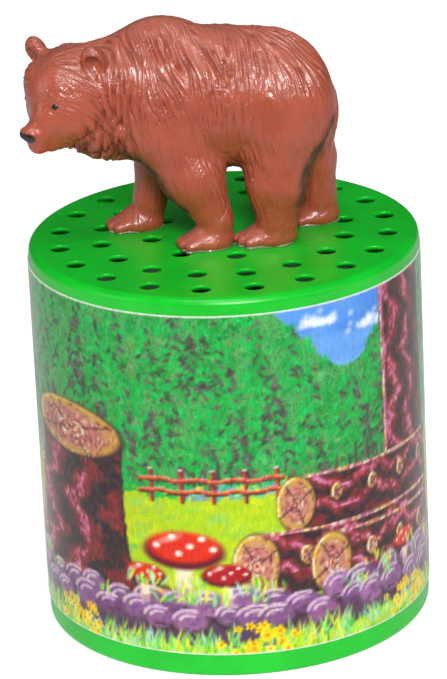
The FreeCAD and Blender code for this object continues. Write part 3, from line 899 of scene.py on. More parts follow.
# Lie of the fur: a place, how far it rules and the way the hair points. The side way is
# away from the bear's middle plane
LIE = regions(9, [
    (-17.7, 36.0, 3, 3, 0.85, 0.4, -0.5),
    (-15.0, 33.0, 3, 3, 0.34, 0.1, -0.94),
    (-14.8, 26.5, 3, 4, 0.05, 0.0, -1.0),
    (-15.3, 20.0, 3, 3, -0.1, 0.0, -1.0),
    (-19.0, 26.0, 3, 3, 0.25, 0.0, -1.0),
    (-19.0, 21.0, 3, 3, 0.1, 0.0, -1.0),
    (-23.0, 20.0, 3, 3, -0.35, 0.0, -0.9),
    (-11.5, 37.0, 3, 3, 0.4, 0.5, -0.8),
    (-9.8, 32.0, 3, 3, 0.24, 0.1, -0.97),
    (-8.3, 27.0, 3, 3, 0.42, 0.0, -0.9),
    (-5.0, 22.5, 3, 3, 0.45, 0.0, -0.9),
    (-11.5, 24.0, 3, 3, 0.3, 0.0, -0.95),
    (-8.7, 18.5, 4, 3, 0.25, 0.0, -0.97),
    (-5.0, 35.5, 3, 3, 0.35, 0.5, -0.8),
    (-2.6, 32.5, 3, 3, 0.3, 0.0, -0.95),
    (-2.0, 27.0, 3, 3, 0.14, 0.0, -1.0),
    (-1.0, 21.0, 4, 4, 0.12, 0.0, -1.0),
    (3.5, 36.0, 4, 3, 0.3, 0.5, -0.9),
    (4.8, 32.5, 3, 3, -0.06, 0.0, -1.0),
    (5.3, 27.0, 3, 4, -0.08, 0.0, -1.0),
    (5.3, 20.0, 4, 4, 0.0, 0.0, -1.0),
    (11.0, 34.0, 4, 3, 0.5, 0.3, -0.85),
    (11.0, 30.0, 3, 3, 0.3, 0.0, -0.95),
    (12.5, 25.5, 4, 3, 0.16, 0.0, -0.98),
    (17.3, 31.0, 3, 4, 0.6, 0.0, -0.8),
    (16.8, 24.0, 3, 4, 0.15, 0.0, -1.0),
    (11.5, 18.5, 4, 4, -0.03, 0.0, -1.0),
    (-5.0, 12.0, 5, 5, 0.22, 0.0, -1.0),
    (9.0, 10.0, 5, 5, 0.05, 0.0, -1.0),
    (-12.0, 10.0, 3, 5, -0.05, 0.0, -1.0),
    (-2.0, 2.0, 6, 3, -0.7, 0.0, -0.5),
    (7.0, 2.0, 5, 3, -0.7, 0.0, -0.5),
])


def head_share(headed):
    """One on the head, fading to zero on the neck."""
    return 1 / (1 + np.exp((egg_reach(headed, (2.6, 0.0, 0.4), (8.6, 8.4, 7.6)) - 0.96) * 14))


def lie_of_fur(points, normals):
    """The way the hair lies at each point, along the skin."""
    aside = np.tanh(points[:, 1:2] / 2.0)
    way = by_region(points, LIE)
    way = way * np.concatenate([np.ones_like(aside), aside, np.ones_like(aside)], 1)
    headed = in_head(points)
    on_head = head_share(headed)[:, None]
    spread = np.tanh(headed[:, 1:2] / 2.5)
    muzzle = 1 / (1 + np.exp((5.6 - headed[:, 0:1]) * 1.2))
    low = 1 / (1 + np.exp((headed[:, 2:3] + 2.4) * 1.1))
    brow = NEAR * spread * 1.0 - CROWN * 0.75 - AHEAD * 0.3
    nose = NEAR * spread * 0.3 - AHEAD
    ruff = np.array([0.05, 0.0, -1.0])
    sweep = brow * (1 - muzzle) * (1 - low) + nose * muzzle + ruff * low * (1 - muzzle)
    way = way * (1 - on_head) + sweep * on_head
    swirl = tilted_noise(points, 5.5, 21) * 0.22 + tilted_noise(points, 1.9, 23) * 0.24
    way = way + np.cross(normals, way) * swirl[:, None]
    way = way - normals * (way * normals).sum(-1, keepdims=True)
    return way / np.maximum(np.linalg.norm(way, axis=-1, keepdims=True), 1e-6)


class Walk:
    """Steps over the skin along the lie of the fur: each point knows where a step takes it."""

    def __init__(self, points, normals, stride):
        tree = KDTree(len(points))
        for number, place in enumerate(points.tolist()):
            tree.insert(place, number)
        tree.balance()
        way = lie_of_fur(points, normals)
        self.points = points
        self.steps = []
        for heading in (stride, -stride):
            target = points + way * heading
            near = np.array([tree.find(place)[1] for place in target.tolist()])
            rest = target - points[near]
            rest -= normals[near] * (rest * normals[near]).sum(-1, keepdims=True)
            self.steps.append((near, rest))

    def strands(self, width, count, seed):
        """Noise smeared along the walk: it holds along a lock and changes across it."""
        total = tilted_noise(self.points, width, seed)
        for near, rest in self.steps:
            walker = self.points
            for step in range(count):
                walker = walker[near] + rest
                fade = 0.5 + 0.5 * math.cos(math.pi * step / count)
                total = total + tilted_noise(walker, width, seed) * fade
        return total / total.std()


# Depth of the coarse locks, share of fine hair, and how tufted the coat is
COAT = regions(12, [
    (-17.3, 33.5, 4, 4, 0.50, 0.5, 0.0),
    (-15.5, 27.0, 4, 4, 0.52, 0.4, 0.0),
    (-17.5, 21.5, 4, 4, 0.36, 0.3, 0.5),
    (-21.0, 18.5, 5, 3, 0.30, 0.3, 0.9),
    (-14.0, 38.0, 3, 3, 0.04, 0.2, 0.0),
    (-9.5, 38.5, 4, 2, 0.10, 0.4, 0.0),
    (-8.8, 32.0, 5, 5, 0.50, 0.5, 0.0),
    (-8.0, 26.5, 5, 4, 0.52, 0.5, 0.0),
    (-9.0, 20.5, 5, 3, 0.10, 0.3, 0.0),
    (0.0, 31.0, 6, 5, 0.52, 0.6, 0.0),
    (0.0, 25.0, 6, 3, 0.42, 0.5, 0.0),
    (1.0, 20.0, 5, 3, 0.14, 0.4, 0.0),
    (2.0, 14.5, 5, 2, 0.22, 0.4, 0.3),
    (3.0, 37.0, 9, 2, 0.28, 0.5, 0.0),
    (10.5, 31.0, 6, 5, 0.44, 0.6, 0.0),
    (12.0, 25.0, 6, 4, 0.30, 0.6, 0.0),
    (18.0, 26.0, 3, 8, 0.24, 0.6, 0.0),
    (11.0, 18.0, 7, 4, 0.10, 0.5, 0.0),
    (-5.0, 12.0, 5, 5, 0.12, 0.5, 0.0),
    (10.0, 8.5, 6, 5, 0.10, 0.5, 0.0),
    (-12.0, 8.0, 4, 5, 0.05, 0.35, 0.0),
    (0.0, 1.5, 30, 2, 0.04, 0.3, 0.0),
])
HEAD_COAT = [
    ((-3.0, 0, 5.0), (4, 8, 3), (0.12, 1.0, 0.0)),
    ((3.0, 0, 5.0), (4, 6, 3), (0.05, 0.9, 0.0)),
    ((1.6, 5.5, 3.5), (4, 3, 3), (0.12, 1.2, 0.0)),
    ((2.0, -5.0, 3.5), (4, 3, 3), (0.12, 1.0, 0.2)),
    ((1.5, 6.0, -1.5), (4, 4, 3), (0.03, 0.15, 0.0)),
    ((-4.0, 4.0, -2.5), (3, 6, 4), (0.42, 0.5, 0.3)),
    ((0.0, 3.0, -7.0), (4, 8, 3), (0.30, 0.4, 0.9)),
    ((5.5, 0, -5.5), (3, 5, 2), (0.03, 0.2, 0.05)),
    ((7.0, 0, -0.5), (3, 5, 4), (0.0, 0.1, 0.0)),
    ((7.5, 0, -4.5), (4, 6, 3), (0.0, 0.1, 0.0)),
    ((11.0, 0, -1.5), (3, 4, 4), (0.0, 0.0, 0.0)),
]
# Dark lines along creases, contours and undersides, painted shade with some dirt: from, to, radius and
# strength
CREASE_SHADE_AND_DIRT = [
    ((-13.6, -5.2, 15.8), (-10.0, -6.8, 12.0), 0.7, 1.0),
    ((-10.0, -6.8, 12.0), (-6.2, -7.2, 7.0), 0.3, 0.9),
    ((18.5, -5.0, 20.5), (16.1, -5.8, 15.7), 0.4, 0.7),
    ((16.1, -5.8, 15.7), (13.8, -6.8, 10.6), 0.8, 1.0),
    ((13.8, -6.8, 10.6), (12.8, -7.0, 7.5), 0.4, 0.8),
    ((-22.0, -5.6, 18.0), (-14.0, -4.8, 16.6), 0.5, 0.4),
    ((0.0, -4.0, 13.2), (4.5, -4.0, 13.2), 0.8, 0.6),
]


# Eggs in the head's frame that paint or the coat's relief goes by: middle and radii
FACE = ((6.5, 0.0, 0.5), (6.0, 6.5, 5.5))
SNOUT = ((9.0, 0.4, -2.5), (4.0, 5.0, 4.0))
NOSE = ((10.6, 0.2, -0.2), (1.6, 2.0, 1.15))
LIP = ((10.2, 0.8, -3.9), (1.8, 2.0, 1.4))
BEAR_FACES = 97000
BEAR_SPACE = ((-34, -14.5, -1.5), (22, 13, 40.5))
GLUE_SPACE = ((-21, -12, -0.35), (21, 9, 1.2))


def skin_and_keep(bear):
    """The skin smoothed but for its finer parts, its slope, its faces, and where the ears are."""
    pitch = bear.pitch / MM * 1.0
    grid = Grid(bear_field, *BEAR_SPACE, pitch)
    points, faces = grid.skin()
    headed = in_head(points)
    at_ear = np.zeros(len(points))
    for centre, _, size in EARS:
        away = np.linalg.norm(headed - np.array(centre), axis=-1) / max(size)
        at_ear = np.maximum(at_ear, np.clip((1.35 - away) / 0.3, 0, 1))
    at_paw = np.clip((4.2 - points[:, 2]) / 1.0, 0, 1)
    keep = np.clip(np.maximum.reduce([egg_glow(headed, *FACE) * 1.3, at_ear, at_paw]), 0, 0.85)
    keep = np.where(points[:, 2] < 0.1, 1.0, keep)[:, None]
    points = points * keep + relax(points, faces, 4) * (1 - keep)
    return points, grid.slope(points), faces, at_ear


def sculpt_bear():
    """Skin of the bear with its carved coat: points, faces and masks of paint, dirt, painted shade and
    painted sheen.
    """
    bear = settings("noise_bear")
    points, normals, faces, at_ear = skin_and_keep(bear)
    headed = in_head(points)
    on_head = head_share(headed)[:, None]
    coat = by_region(points, COAT) * (1 - on_head) + by_region(headed, HEAD_COAT) * on_head
    coarse, fine, tufts = coat.T
    width = bear.lock_width / MM
    walk = Walk(points, normals, width * 0.7)
    locks = walk.strands(width, 12, 5)
    hair = walk.strands(width * 0.55, 6, 13)
    lumps = walk.strands(width * 1.25, 4, 17)
    ridge = np.abs(np.sin(locks * 1.6))
    lump = 1 - np.exp(-np.abs(lumps) / 0.7)
    vary = 0.85 + 0.5 * tilted_noise(points, 3.4, 61)
    calm = np.clip(0.75 + 1.1 * tilted_noise(points, 4.6, 44), 0.25, 1)
    height = coarse * vary * calm * (ridge * 1.8 - 1.2)
    height += coarse * 0.15 * tilted_noise(points, 1.7, 39)
    height += tufts * ((lump - 0.5) * 1.1 + 0.25 * tilted_noise(points, 1.2, 31))
    height += 0.035 * tilted_noise(points, 0.9, 37)
    level = np.clip((points[:, 2] - 0.15) / 0.8, 0, 1)
    snout = ramp(egg_glow(headed, *SNOUT), 1.4)
    height *= level * (1 - 0.85 * at_ear) * (1 - snout)

    # Painted shade in the grooves between locks and between tufts
    groove = ramp(0.45 - ridge, 3.0) * ramp(coarse * calm, 3.0)
    groove = np.maximum(groove, ramp(0.5 - lump, 2.4) * ramp(tufts, 1.6)) * (1 - snout)
    # Painted shade in the upper hollow of the near ear
    centre, facing, _ = EARS[0]
    cup = centre + np.array(facing) * 0.9 + (0, -0.2, 0.5)
    groove = np.maximum(groove, np.clip((1.0 - egg_reach(headed, cup, (1.2, 1.6, 1.5))) / 0.4, 0, 0.9))
    # Dark lines along creases and contours: painted shade with some dirt, flecked by noise; the deeper tuft
    # grooves add more painted shade
    crease_shade_and_dirt = np.zeros(len(points))
    for start, end, radius, strength in CREASE_SHADE_AND_DIRT:
        away = np.maximum(limb_distance(points, start, end, radius, radius, 1.0), 0) / 0.9
        crease_shade_and_dirt = np.maximum(crease_shade_and_dirt, strength * np.exp(-(away**2)))
    fleck = 1.05 + 0.5 * tilted_noise(points, 1.1, 71)
    grime_and_shade = np.clip(crease_shade_and_dirt * fleck + 0.35 * groove * np.clip(tufts, 0, 1), 0, 1)
    black = np.clip((1.0 - egg_reach(headed, *NOSE)) / 0.12, 0, 1)
    for _, centre, radii, _ in EYEBALLS:
        black = np.maximum(black, np.clip((1.2 - egg_reach(headed, centre, radii)) / 0.2, 0, 1))
    up = normals[:, 2]
    masks = {
        # painted sheen: lighter on skin that faces up, less on the head
        "painted_top_sheen": np.clip((up - 0.3) / 0.6, 0, 1) * (0.22 - 0.12 * on_head[:, 0]),
        "glossy": np.clip((up + 0.15) / 0.5, 0.2, 1) * (1 - 0.6 * snout),
        "groove": groove,
        "grime_and_shade": grime_and_shade,
        "black": black,
        "lip": np.clip((1.0 - egg_reach(headed, *LIP)) / 0.5, 0, 1) * 0.95,
        "hair": hair,
        "hairy": fine,
    }
    return points + normals * height[:, None], faces, masks


def fill_layer(layer, field, values):
    layer.data.foreach_set(field, np.asarray(values).astype(np.float32).ravel())


def add_mask(mesh, name, values):
    fill_layer(mesh.attributes.new(name, "FLOAT", "POINT"), "value", values)


def make_bear(groups):
    points, faces, masks = sculpt_bear()
    piece = mesh_object("bear_sculpt", points + BEAR_ORIGIN, faces)
    for name, values in masks.items():
        add_mask(piece.data, name, values)
    thin = piece.modifiers.new("Fewer faces", "DECIMATE")
    thin.ratio = min(1.0, BEAR_FACES / len(faces))
    bake_modifiers(piece)
    dress(piece, bear_vinyl(groups))
    settle(piece, "box", ["bear_figure"])


# How far the glue's foot stands off the lid, and how far above the soles the bear's outline is taken
GLUE_FOOT = 0.004
GLUE_SLICE = 0.3


def glue_field(points):
    """A low bead of glue that creeps out from under each paw."""
    body = bear_field(points + np.array([0, 0, GLUE_SLICE]))
    lump = tilted_noise(points, 1.6, 83) * 0.3
    width = 0.12 + lump - np.clip(points[:, 2], 0, None) * 0.8
    return np.maximum(np.maximum(body - width, -body - 0.5), GLUE_FOOT - points[:, 2])


def make_glue(groups):
    grid = Grid(glue_field, *GLUE_SPACE, 0.16)
    points, faces = grid.skin()
    points = relax(points, faces, 1)
    points[:, 2] = np.maximum(points[:, 2], GLUE_FOOT)
    piece = mesh_object("glue_beads", points + BEAR_ORIGIN, faces)
    dress(piece, glue_material(groups))
    settle(piece, "box", ["foot_glue"])


# The lid and its sound holes

def perforation_tree():
    """Sound holes on three circles, cut from the lid by copies of one flared punch."""
    inputs = [
        ("Geometry", "NodeSocketGeometry", None),
        ("Punch", "NodeSocketObject", None),
        ("Turn", "NodeSocketFloat", 0.0),
        ("Material", "NodeSocketMaterial", None),
    ]
    for ring in ("Inner", "Middle", "Outer"):
        inputs.append((ring + " Radius", "NodeSocketFloat", 0.01))
        inputs.append((ring + " Count", "NodeSocketInt", 8))
    outputs = [("Geometry", "NodeSocketGeometry")]
    tree, work, source, target = new_group("Sound holes", inputs, outputs, "GeometryNodeTree")
    join = work.add("GeometryNodeJoinGeometry")
    for ring in ("Outer", "Middle", "Inner"):
        sizes = {"Radius": source[ring + " Radius"], "Vertices": source[ring + " Count"]}
        work.feed(join.inputs[0], work.add("GeometryNodeMeshCircle", sizes).outputs[0])
    turn = work.add("ShaderNodeCombineXYZ", {"Z": source["Turn"]}).outputs[0]
    turned = work.add("GeometryNodeTransform", {"Geometry": join.outputs[0], "Rotation": turn}).outputs[0]
    punch = work.add("GeometryNodeObjectInfo", {"Object": source["Punch"]}).outputs["Geometry"]
    copies = work.add("GeometryNodeInstanceOnPoints", {"Points": turned, "Instance": punch})
    real = work.add("GeometryNodeRealizeInstances", {"Geometry": copies.outputs[0]})
    cut = work.add("GeometryNodeMeshBoolean", operation="DIFFERENCE", solver="EXACT")
    work.feed(cut.inputs[0], source["Geometry"])
    work.feed(cut.inputs[1], real.outputs[0])
    plain = work.add("GeometryNodeRealizeInstances", {"Geometry": cut.outputs[0]}).outputs[0]
    painted = work.add("GeometryNodeSetMaterial", {"Geometry": plain, "Material": source["Material"]})
    work.feed(target["Geometry"], painted.outputs[0])
    return tree


def set_inputs(modifier, values):
    """Set a modifier's inputs by their sockets' identifiers."""
    for item in modifier.node_group.interface.items_tree:
        if item.in_out == "INPUT" and item.name in values:
            modifier[item.identifier] = values[item.name]


def bake_modifiers(piece):
    """Turn what the modifiers make into a plain mesh."""
    bpy.context.view_layer.update()
    graph = bpy.context.evaluated_depsgraph_get()
    mesh = bpy.data.meshes.new_from_object(piece.evaluated_get(graph))
    piece.modifiers.clear()
    piece.data = mesh


# Depth of the plug ring's outer face under the rim's, its wall and the lid's plate
PLUG_STEP = 1.63
PLUG_WALL = 1.37
LID_PLATE = 0.9


def make_lid(plastic):
    can = settings("noise_can")
    radius = CAN_RADIUS
    edge = can.edge_round / MM
    plug_outer = radius - PLUG_STEP
    plug_inner = plug_outer - PLUG_WALL
    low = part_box("lid")[0].z / MM
    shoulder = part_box("can_body")[1].z / MM
    under = LID_TOP - LID_PLATE
    profile = [(0.0, LID_TOP), (radius - edge - 1.2, LID_TOP)]
    profile += arc((radius - edge, LID_TOP - edge), edge, 90, 0, 10)
    profile += [(radius, shoulder + 0.12), (radius - 0.12, shoulder), (plug_outer, shoulder)]
    profile += [(plug_outer, low), (plug_inner, low), (plug_inner, under), (0.0, under)]
    piece = lathe("lid_shell", profile, 180)
    hole = can.hole_radius / MM
    flare = can.hole_flare / MM
    tool = [(0.0, under - 0.6), (hole + 0.45, under - 0.6), (hole + 0.45, under)]
    tool += [(hole, LID_TOP - 0.45), (hole, LID_TOP - flare)]
    for angle in np.radians((22, 45, 67, 82)):
        tool.append((hole + flare - flare * math.cos(angle), LID_TOP - flare + flare * math.sin(angle)))
    tool += [(hole + flare, LID_TOP + 0.001), (hole + flare, LID_TOP + 0.6), (0.0, LID_TOP + 0.6)]
    punch = lathe("hole_punch", tool, 32)
    modifier = piece.modifiers.new("Sound holes", "NODES")
    modifier.node_group = perforation_tree()
    values = {"Punch": punch, "Turn": HOLE_TURN, "Material": plastic}
    for ring in ("Inner", "Middle", "Outer"):
        values[ring + " Radius"] = getattr(can, "ring_" + ring.lower())
        values[ring + " Count"] = getattr(can, "count_" + ring.lower())
    set_inputs(modifier, values)
    bake_modifiers(piece)
    bpy.data.objects.remove(punch)
    dress(piece, plastic)
    sharpen(piece, 30)
    bake_modifiers(piece)
    settle(piece, "box", ["lid"])


# The printed label

# Size of a grid step of the painted label, and how many millimetres one unit of its UV map spans
GRAIN = 0.2
UV_MM = 100.0
LABEL_TALL = LABEL_HIGH - LABEL_LOW
LABEL_LONG = 2 * math.pi * LABEL_RADIUS
FRONT = LABEL_LONG / 2
LEVEL, UPRIGHT = 0.0, math.pi / 2


class Canvas:
    """A strip of paint that goes round the can, in millimetres from its seam and its foot."""

    def __init__(self, seed):
        self.wide = int(LABEL_LONG / GRAIN)
        self.tall = int(LABEL_TALL / GRAIN) + 1
        self.colour = np.zeros((self.tall, self.wide, 3))
        self.foliage = np.zeros((self.tall, self.wide))
        self.random = np.random.default_rng(seed)
        self.any = self.random.uniform
        self.u, self.v = np.meshgrid(np.arange(self.wide) * GRAIN, np.arange(self.tall) * GRAIN)

    def wash(self, mask, colour, leafy=0.0):
        """Lay a first coat where the mask holds."""
        self.colour[mask] = colour
        self.foliage[mask] = leafy

    def dab(self, u, v, long, broad, lean, colour, cover=1.0, soft=0.5, leafy=None):
        """One egg-shaped touch of the brush, leaning by an angle from level."""
        reach = max(long, broad) + GRAIN
        left, right = int((u - reach) / GRAIN), int((u + reach) / GRAIN) + 1
        low, high = max(int((v - reach) / GRAIN), 0), min(int((v + reach) / GRAIN) + 1, self.tall)
        if high <= low:
            return
        columns = np.arange(left, right)
        rows = np.arange(low, high)
        across = columns[None, :] * GRAIN - u
        up = rows[:, None] * GRAIN - v
        cosine, sine = math.cos(lean), math.sin(lean)
        away = np.hypot((across * cosine + up * sine) / long, (up * cosine - across * sine) / broad)
        share = np.clip((1 - away) / soft, 0, 1) * cover
        place = np.ix_(rows, columns % self.wide)
        self.colour[place] += share[..., None] * (np.asarray(colour, float) - self.colour[place])
        if leafy is not None:
            self.foliage[place] += share * (leafy - self.foliage[place])

    def shade(self, colour, spread=14):
        """A colour with a small random change."""
        change = self.sway(spread, 3) * 0.5 + self.sway(spread) * 0.8
        return np.clip(np.asarray(colour, float) + change, 0, 255)

    def pick(self, colours, spread=12):
        return self.shade(colours[self.random.integers(len(colours))], spread)

    def sway(self, spread, count=None):
        """Random shifts about zero."""
        return self.random.normal(0, spread, count)

    def chance(self, share):
        return self.random.random() < share

    def scatter(self, count, low, high):
        """Random places all round the can, between two heights."""
        for _ in range(count):
            yield self.any(0, LABEL_LONG), self.any(low, high)

    def around(self, step, spread, first=0.0):
        """Places at unsteady steps round the can."""
        for start in np.arange(first, LABEL_LONG, step):
            yield start + self.sway(spread)

    def stroke(self, path, thick, colours, cover=0.9, spread=8, soft=0.5, leafy=None):
        """A line of overlapping dabs along a path of places."""
        path = np.asarray(path, float)
        for start, end in zip(path[:-1], path[1:]):
            way = end - start
            lean = math.atan2(way[1], way[0])
            for share in np.arange(0, 1, max(thick * 0.8 / max(math.hypot(*way), 1e-6), 0.05)):
                u, v = start + way * share
                self.dab(u, v, thick * 1.4, thick, lean, self.pick(colours, spread), cover, soft, leafy)


SKY = [(96, 150, 232), (120, 172, 240), (150, 196, 246)]
CLOUD = [(250, 252, 255), (232, 240, 252)]
FIR = [(26, 186, 82), (34, 172, 74), (60, 180, 86), (28, 156, 64)]
FIR_DULL = [(92, 156, 86), (110, 150, 84), (80, 168, 98)]
FIR_DARK = [(86, 72, 72), (68, 54, 58), (104, 90, 90), (60, 76, 56)]
BUSH = [(70, 214, 186), (60, 196, 110), (124, 168, 204), (146, 128, 158), (222, 228, 70), (110, 214, 150)]
MEADOW = [(188, 216, 50), (168, 206, 66), (208, 218, 62), (150, 202, 96)]
MEADOW_GREEN = [(84, 178, 78), (118, 188, 96), (150, 200, 124)]
BARK = [(124, 48, 48), (108, 42, 46), (146, 58, 54), (96, 44, 50)]
BARK_DARK = [(52, 30, 36), (66, 44, 44), (40, 26, 32)]
BARK_LIGHT = [(206, 112, 150), (224, 150, 182), (190, 88, 110)]
RIM = [(250, 214, 76), (255, 240, 190), (255, 250, 244)]
WOOD = [(246, 214, 160), (236, 176, 150), (250, 232, 200), (224, 140, 130)]
WOOD_DARK = [(150, 60, 66), (122, 48, 56), (176, 84, 90), (96, 40, 48)]
STONE = [(134, 88, 136), (116, 76, 120), (150, 102, 148)]
STONE_LIGHT = [(206, 166, 212), (224, 196, 226), (218, 206, 176)]
STONE_DARK = [(74, 48, 62), (92, 62, 88), (58, 40, 48)]
GRASS = [(206, 240, 60), (150, 226, 120), (236, 236, 90), (88, 190, 84), (176, 226, 200)]
FLOWER = [(254, 232, 30), (255, 244, 120), (252, 214, 24)]
CAP_RED = [(206, 48, 44), (224, 74, 58), (178, 34, 44)]
POLE = [(206, 66, 50), (190, 80, 54)]
RAIL = [(214, 78, 54), (228, 104, 60)]
RAIL_LIT = [(240, 130, 190), (250, 220, 130)]
# Where things stand, as millimetres to the right of the label's front: stumps with their foot, top,
# half width, lean and whether they are sawn; logs with their right end, middle, half width and slope;
# toadstools with their foot and size
STUMPS = [(36, 6, 66, 6.6, -0.03, False), (-88, 7, 66, 5.0, 0.04, False), (84, 8, 27, 7.4, 0.0, True)]
LOGS = [
    (10, 44, 25.5, 4.6, -0.03),
    (3, 44, 15.5, 5.4, -0.02),
    (16, 44, 14, 5.2, -0.05),
    (-76, -48, 15, 6.2, 0.05),
    (58, 78, 13.5, 4.4, -0.04),
]
TOADSTOOLS = [
    (-9.0, 10.0, 7.6), (-2.0, 9.0, 4.6), (-16.0, 9.0, 4.2), (33, 8.5, 4.0), (-47, 8.5, 5.0),
    (96, 9, 5.0), (-99, 9, 4.0), (54, 8.5, 4.4), (-78, 9, 5.0), (70, 8, 3.6),
]


def ridge_line(u, base, swing, seed):
    """Height of a wavy line at a place round the can."""
    waves = np.random.default_rng(seed).uniform(-1, 1, (5, 2))
    angle = np.asarray(u) / LABEL_RADIUS
    swell = sum(size * np.sin((turns + 1) * angle + 3.1 * lead) for turns, (size, lead) in enumerate(waves))
    return base + swing * swell


def meadow_edge(u, height):
    """The wavy line where the forest's feet meet the meadow, at a height."""
    return ridge_line(u, height, 0.8, 8)


def tree_line(u):
    """Top of the forest: over the label's edge, but for two gaps where sky shows."""
    gaps = 0
    for middle, wide, deep in ((FRONT + 20, 11, 15), (FRONT - 74, 16, 17)):
        away = (u - middle) / wide
        gaps = gaps + deep * np.exp(-away * away)
    return ridge_line(u, 62, 1.2, 3) - gaps


def paint_sky(art):
    art.wash(art.v > 0, SKY[1])
    for u, v in art.scatter(700, 40, LABEL_TALL):
        share = (v - 42) / 17
        tone = SKY[0 if share > 0.7 else 1 if share > 0.35 else 2]
        art.dab(u, v, 5.0, 2.0, art.sway(0.1), art.shade(tone, 5), 0.8, 0.9)
    for u, v in ((15, 55.5), (25, 53.0), (-66, 54), (-80, 50), (-74, 56)):
        for _ in range(40):
            lift = abs(art.sway(0.8))
            art.dab(FRONT + u + art.sway(1.9), v + lift, 0.9, 0.7, LEVEL, art.pick(CLOUD, 4), 0.55, 0.8)


def paint_fir(art, u, foot, tall, gloom=0.0):
    """A conifer: tiers of drooping strokes, bright on the left and dark in its shade."""
    tiers = int(tall / 0.8)
    for tier in range(tiers):
        share = tier / tiers
        half = tall * 0.2 * (1 - share) ** 0.8 + 0.3
        height = foot + tall * (0.06 + 0.94 * share)
        for _ in range(3 + int(half * 1.5)):
            side = art.any(-1, 1)
            tones = FIR_DARK if art.chance(gloom + (0.46 if side > -0.1 else 0.14)) else FIR
            lean = -0.7 * np.sign(side) + art.sway(0.25)
            place = (u + side * half, height - abs(side) * half * 0.5)
            art.dab(*place, 0.8, 0.36, lean, art.pick(tones, 10), 0.92, 0.45, leafy=0.35)


def paint_forest(art):
    art.wash(art.v < tree_line(art.u), (76, 162, 88), 1.0)
    for u, v in art.scatter(3600, 26, LABEL_TALL):
        if v < tree_line(u) + art.sway(0.5):
            size = art.any(0.6, 1.7)
            lean = UPRIGHT + art.sway(0.5)
            tones = FIR if art.chance(0.62) else FIR_DULL
            art.dab(u, v, size, size * 0.5, lean, art.pick(tones, 12), 0.85, 0.5, leafy=1.0)
    for step, tall, sunk in ((4.6, 13, 0), (6.4, 15, 9), (8.6, 17, 17)):
        for u in art.around(step, step * 0.25):
            height = tall * art.any(0.8, 1.2)
            top = min(tree_line(u), 60) + art.any(-2.5, 1.5) - sunk
            paint_fir(art, u, top - height, height)
    for u in art.around(7.3, 2.2):
        height = art.any(8, 14)
        paint_fir(art, u, min(tree_line(u), 58) - height - art.random.choice((2, 9, 15, 17)), height, 0.4)
    for u in art.around(1.3, 0.4):
        foot = meadow_edge(u, 29.0)
        if math.sin(u * 0.21) + art.sway(0.4) > 0.1:
            tall = art.any(1.4, 3.2)
            lean = UPRIGHT + art.sway(0.08)
            art.dab(u, foot + tall, tall, 0.4, lean, art.pick(FIR_DARK, 8), 0.9, 0.4, leafy=0.1)


def paint_meadow(art):
    art.wash(art.v < meadow_edge(art.u, 28.6), (180, 210, 62))
    for u, v in art.scatter(1500, 0, 29):
        if v < meadow_edge(u, 28.4):
            long, broad, lean = art.any(1.0, 3.0), art.any(0.5, 1.1), 0.1 + art.sway(0.3)
            art.dab(u, v, long, broad, lean, art.pick(MEADOW, 8), 0.7, 0.7)
    for u, v in art.scatter(360, 11, 27):
        if math.sin(u * 0.17 + 1.0) + 0.5 * math.sin(u * 0.41) + art.sway(0.3) > 0.35:
            long, lean = art.any(0.9, 2.2), 0.35 + art.sway(0.3)
            art.dab(u, v, long, 0.7, lean, art.pick(MEADOW_GREEN, 8), 0.75, 0.6)
    for u in art.around(2.6, 1.0):
        foot = meadow_edge(u, 27.6)
        size = art.any(0.9, 1.9)
        colours = BUSH if math.sin(u * 0.13) > -0.2 else FIR
        for _ in range(22):
            shift, lift = art.sway(size, 2)
            long, lean = art.any(0.4, 0.8), art.any(0, 3)
            tone = art.pick(colours, 10)
            art.dab(u + shift, foot + abs(lift) * 0.9, long, 0.4, lean, tone, 0.85, 0.5, leafy=0.15)


def bark_tone(art, side, along):
    """Dark clefts, plain bark or a lit ridge, from a place on the bark."""
    bend = 1.6 * math.sin(along * 0.5) + 0.7 * math.sin(along * 1.3 + side * 3)
    cleft = math.sin(side * 7.5 + bend) + art.sway(0.22)
    if cleft < -0.45 + 0.5 * max(side, 0):
        return BARK_DARK
    if cleft > 0.82 and side < 0.35:
        return BARK_LIGHT
    return BARK


def paint_stump(art, u, low, high, half, lean=0.0, sawn=True, roots=1.0):
    """A standing stump: bark in ridges, lit on the left, with roots and a sawn top."""
    tall = high - low

    def flare(share):
        return half * (1 + 0.35 * (1 - share) ** 3)

    for root, reach, thick in ((-1.25, 1.0, 0.42), (-0.7, 0.6, 0.5), (0.75, 0.6, 0.5), (1.3, 1.05, 0.42)):
        path = []
        for t in np.linspace(0, 1, 7):
            spread = root * half * (0.55 + 0.75 * t * reach * roots)
            path.append((u + spread, low + tall * 0.26 * (1 - t) ** 1.8 - 0.6))
        lit = [(a - half * thick * 0.15, b + half * thick * 0.62) for a, b in path]
        art.stroke(path, half * thick, BARK_DARK, 1.0, 5, 0.3, leafy=0.0)
        art.stroke([(a - 0.2, b + 0.25) for a, b in path], half * thick * 0.8, BARK, 0.95, 9)
        art.stroke(lit, half * 0.09, BARK_LIGHT + RIM, 0.85, 8)
    for share in np.linspace(0, 1, int(tall / 0.5)):
        for side in np.arange(-1, 1.01, 0.5 / flare(share)):
            colour = art.pick(bark_tone(art, side, tall * share), 8)
            place = u + lean * tall * share + side * flare(share) + art.sway(0.1)
            turn = UPRIGHT + lean - side * 0.12 * (1 - share)
            art.dab(place, low + tall * share, 0.9, 0.42, turn, colour, 0.95, 0.45, leafy=0.0)
    for side, colours in ((-1.0, RIM + BARK_LIGHT), (1.0, BARK_DARK), (-0.93, BARK_LIGHT)):
        steps = np.linspace(0.12, 1, 10)
        path = [(u + lean * tall * t + side * flare(t), low + tall * t) for t in steps]
        art.stroke(path, 0.3, colours, 0.85, 8)
    if sawn:
        paint_rings(art, u + lean * tall, high, half * 1.03, half * 0.4)


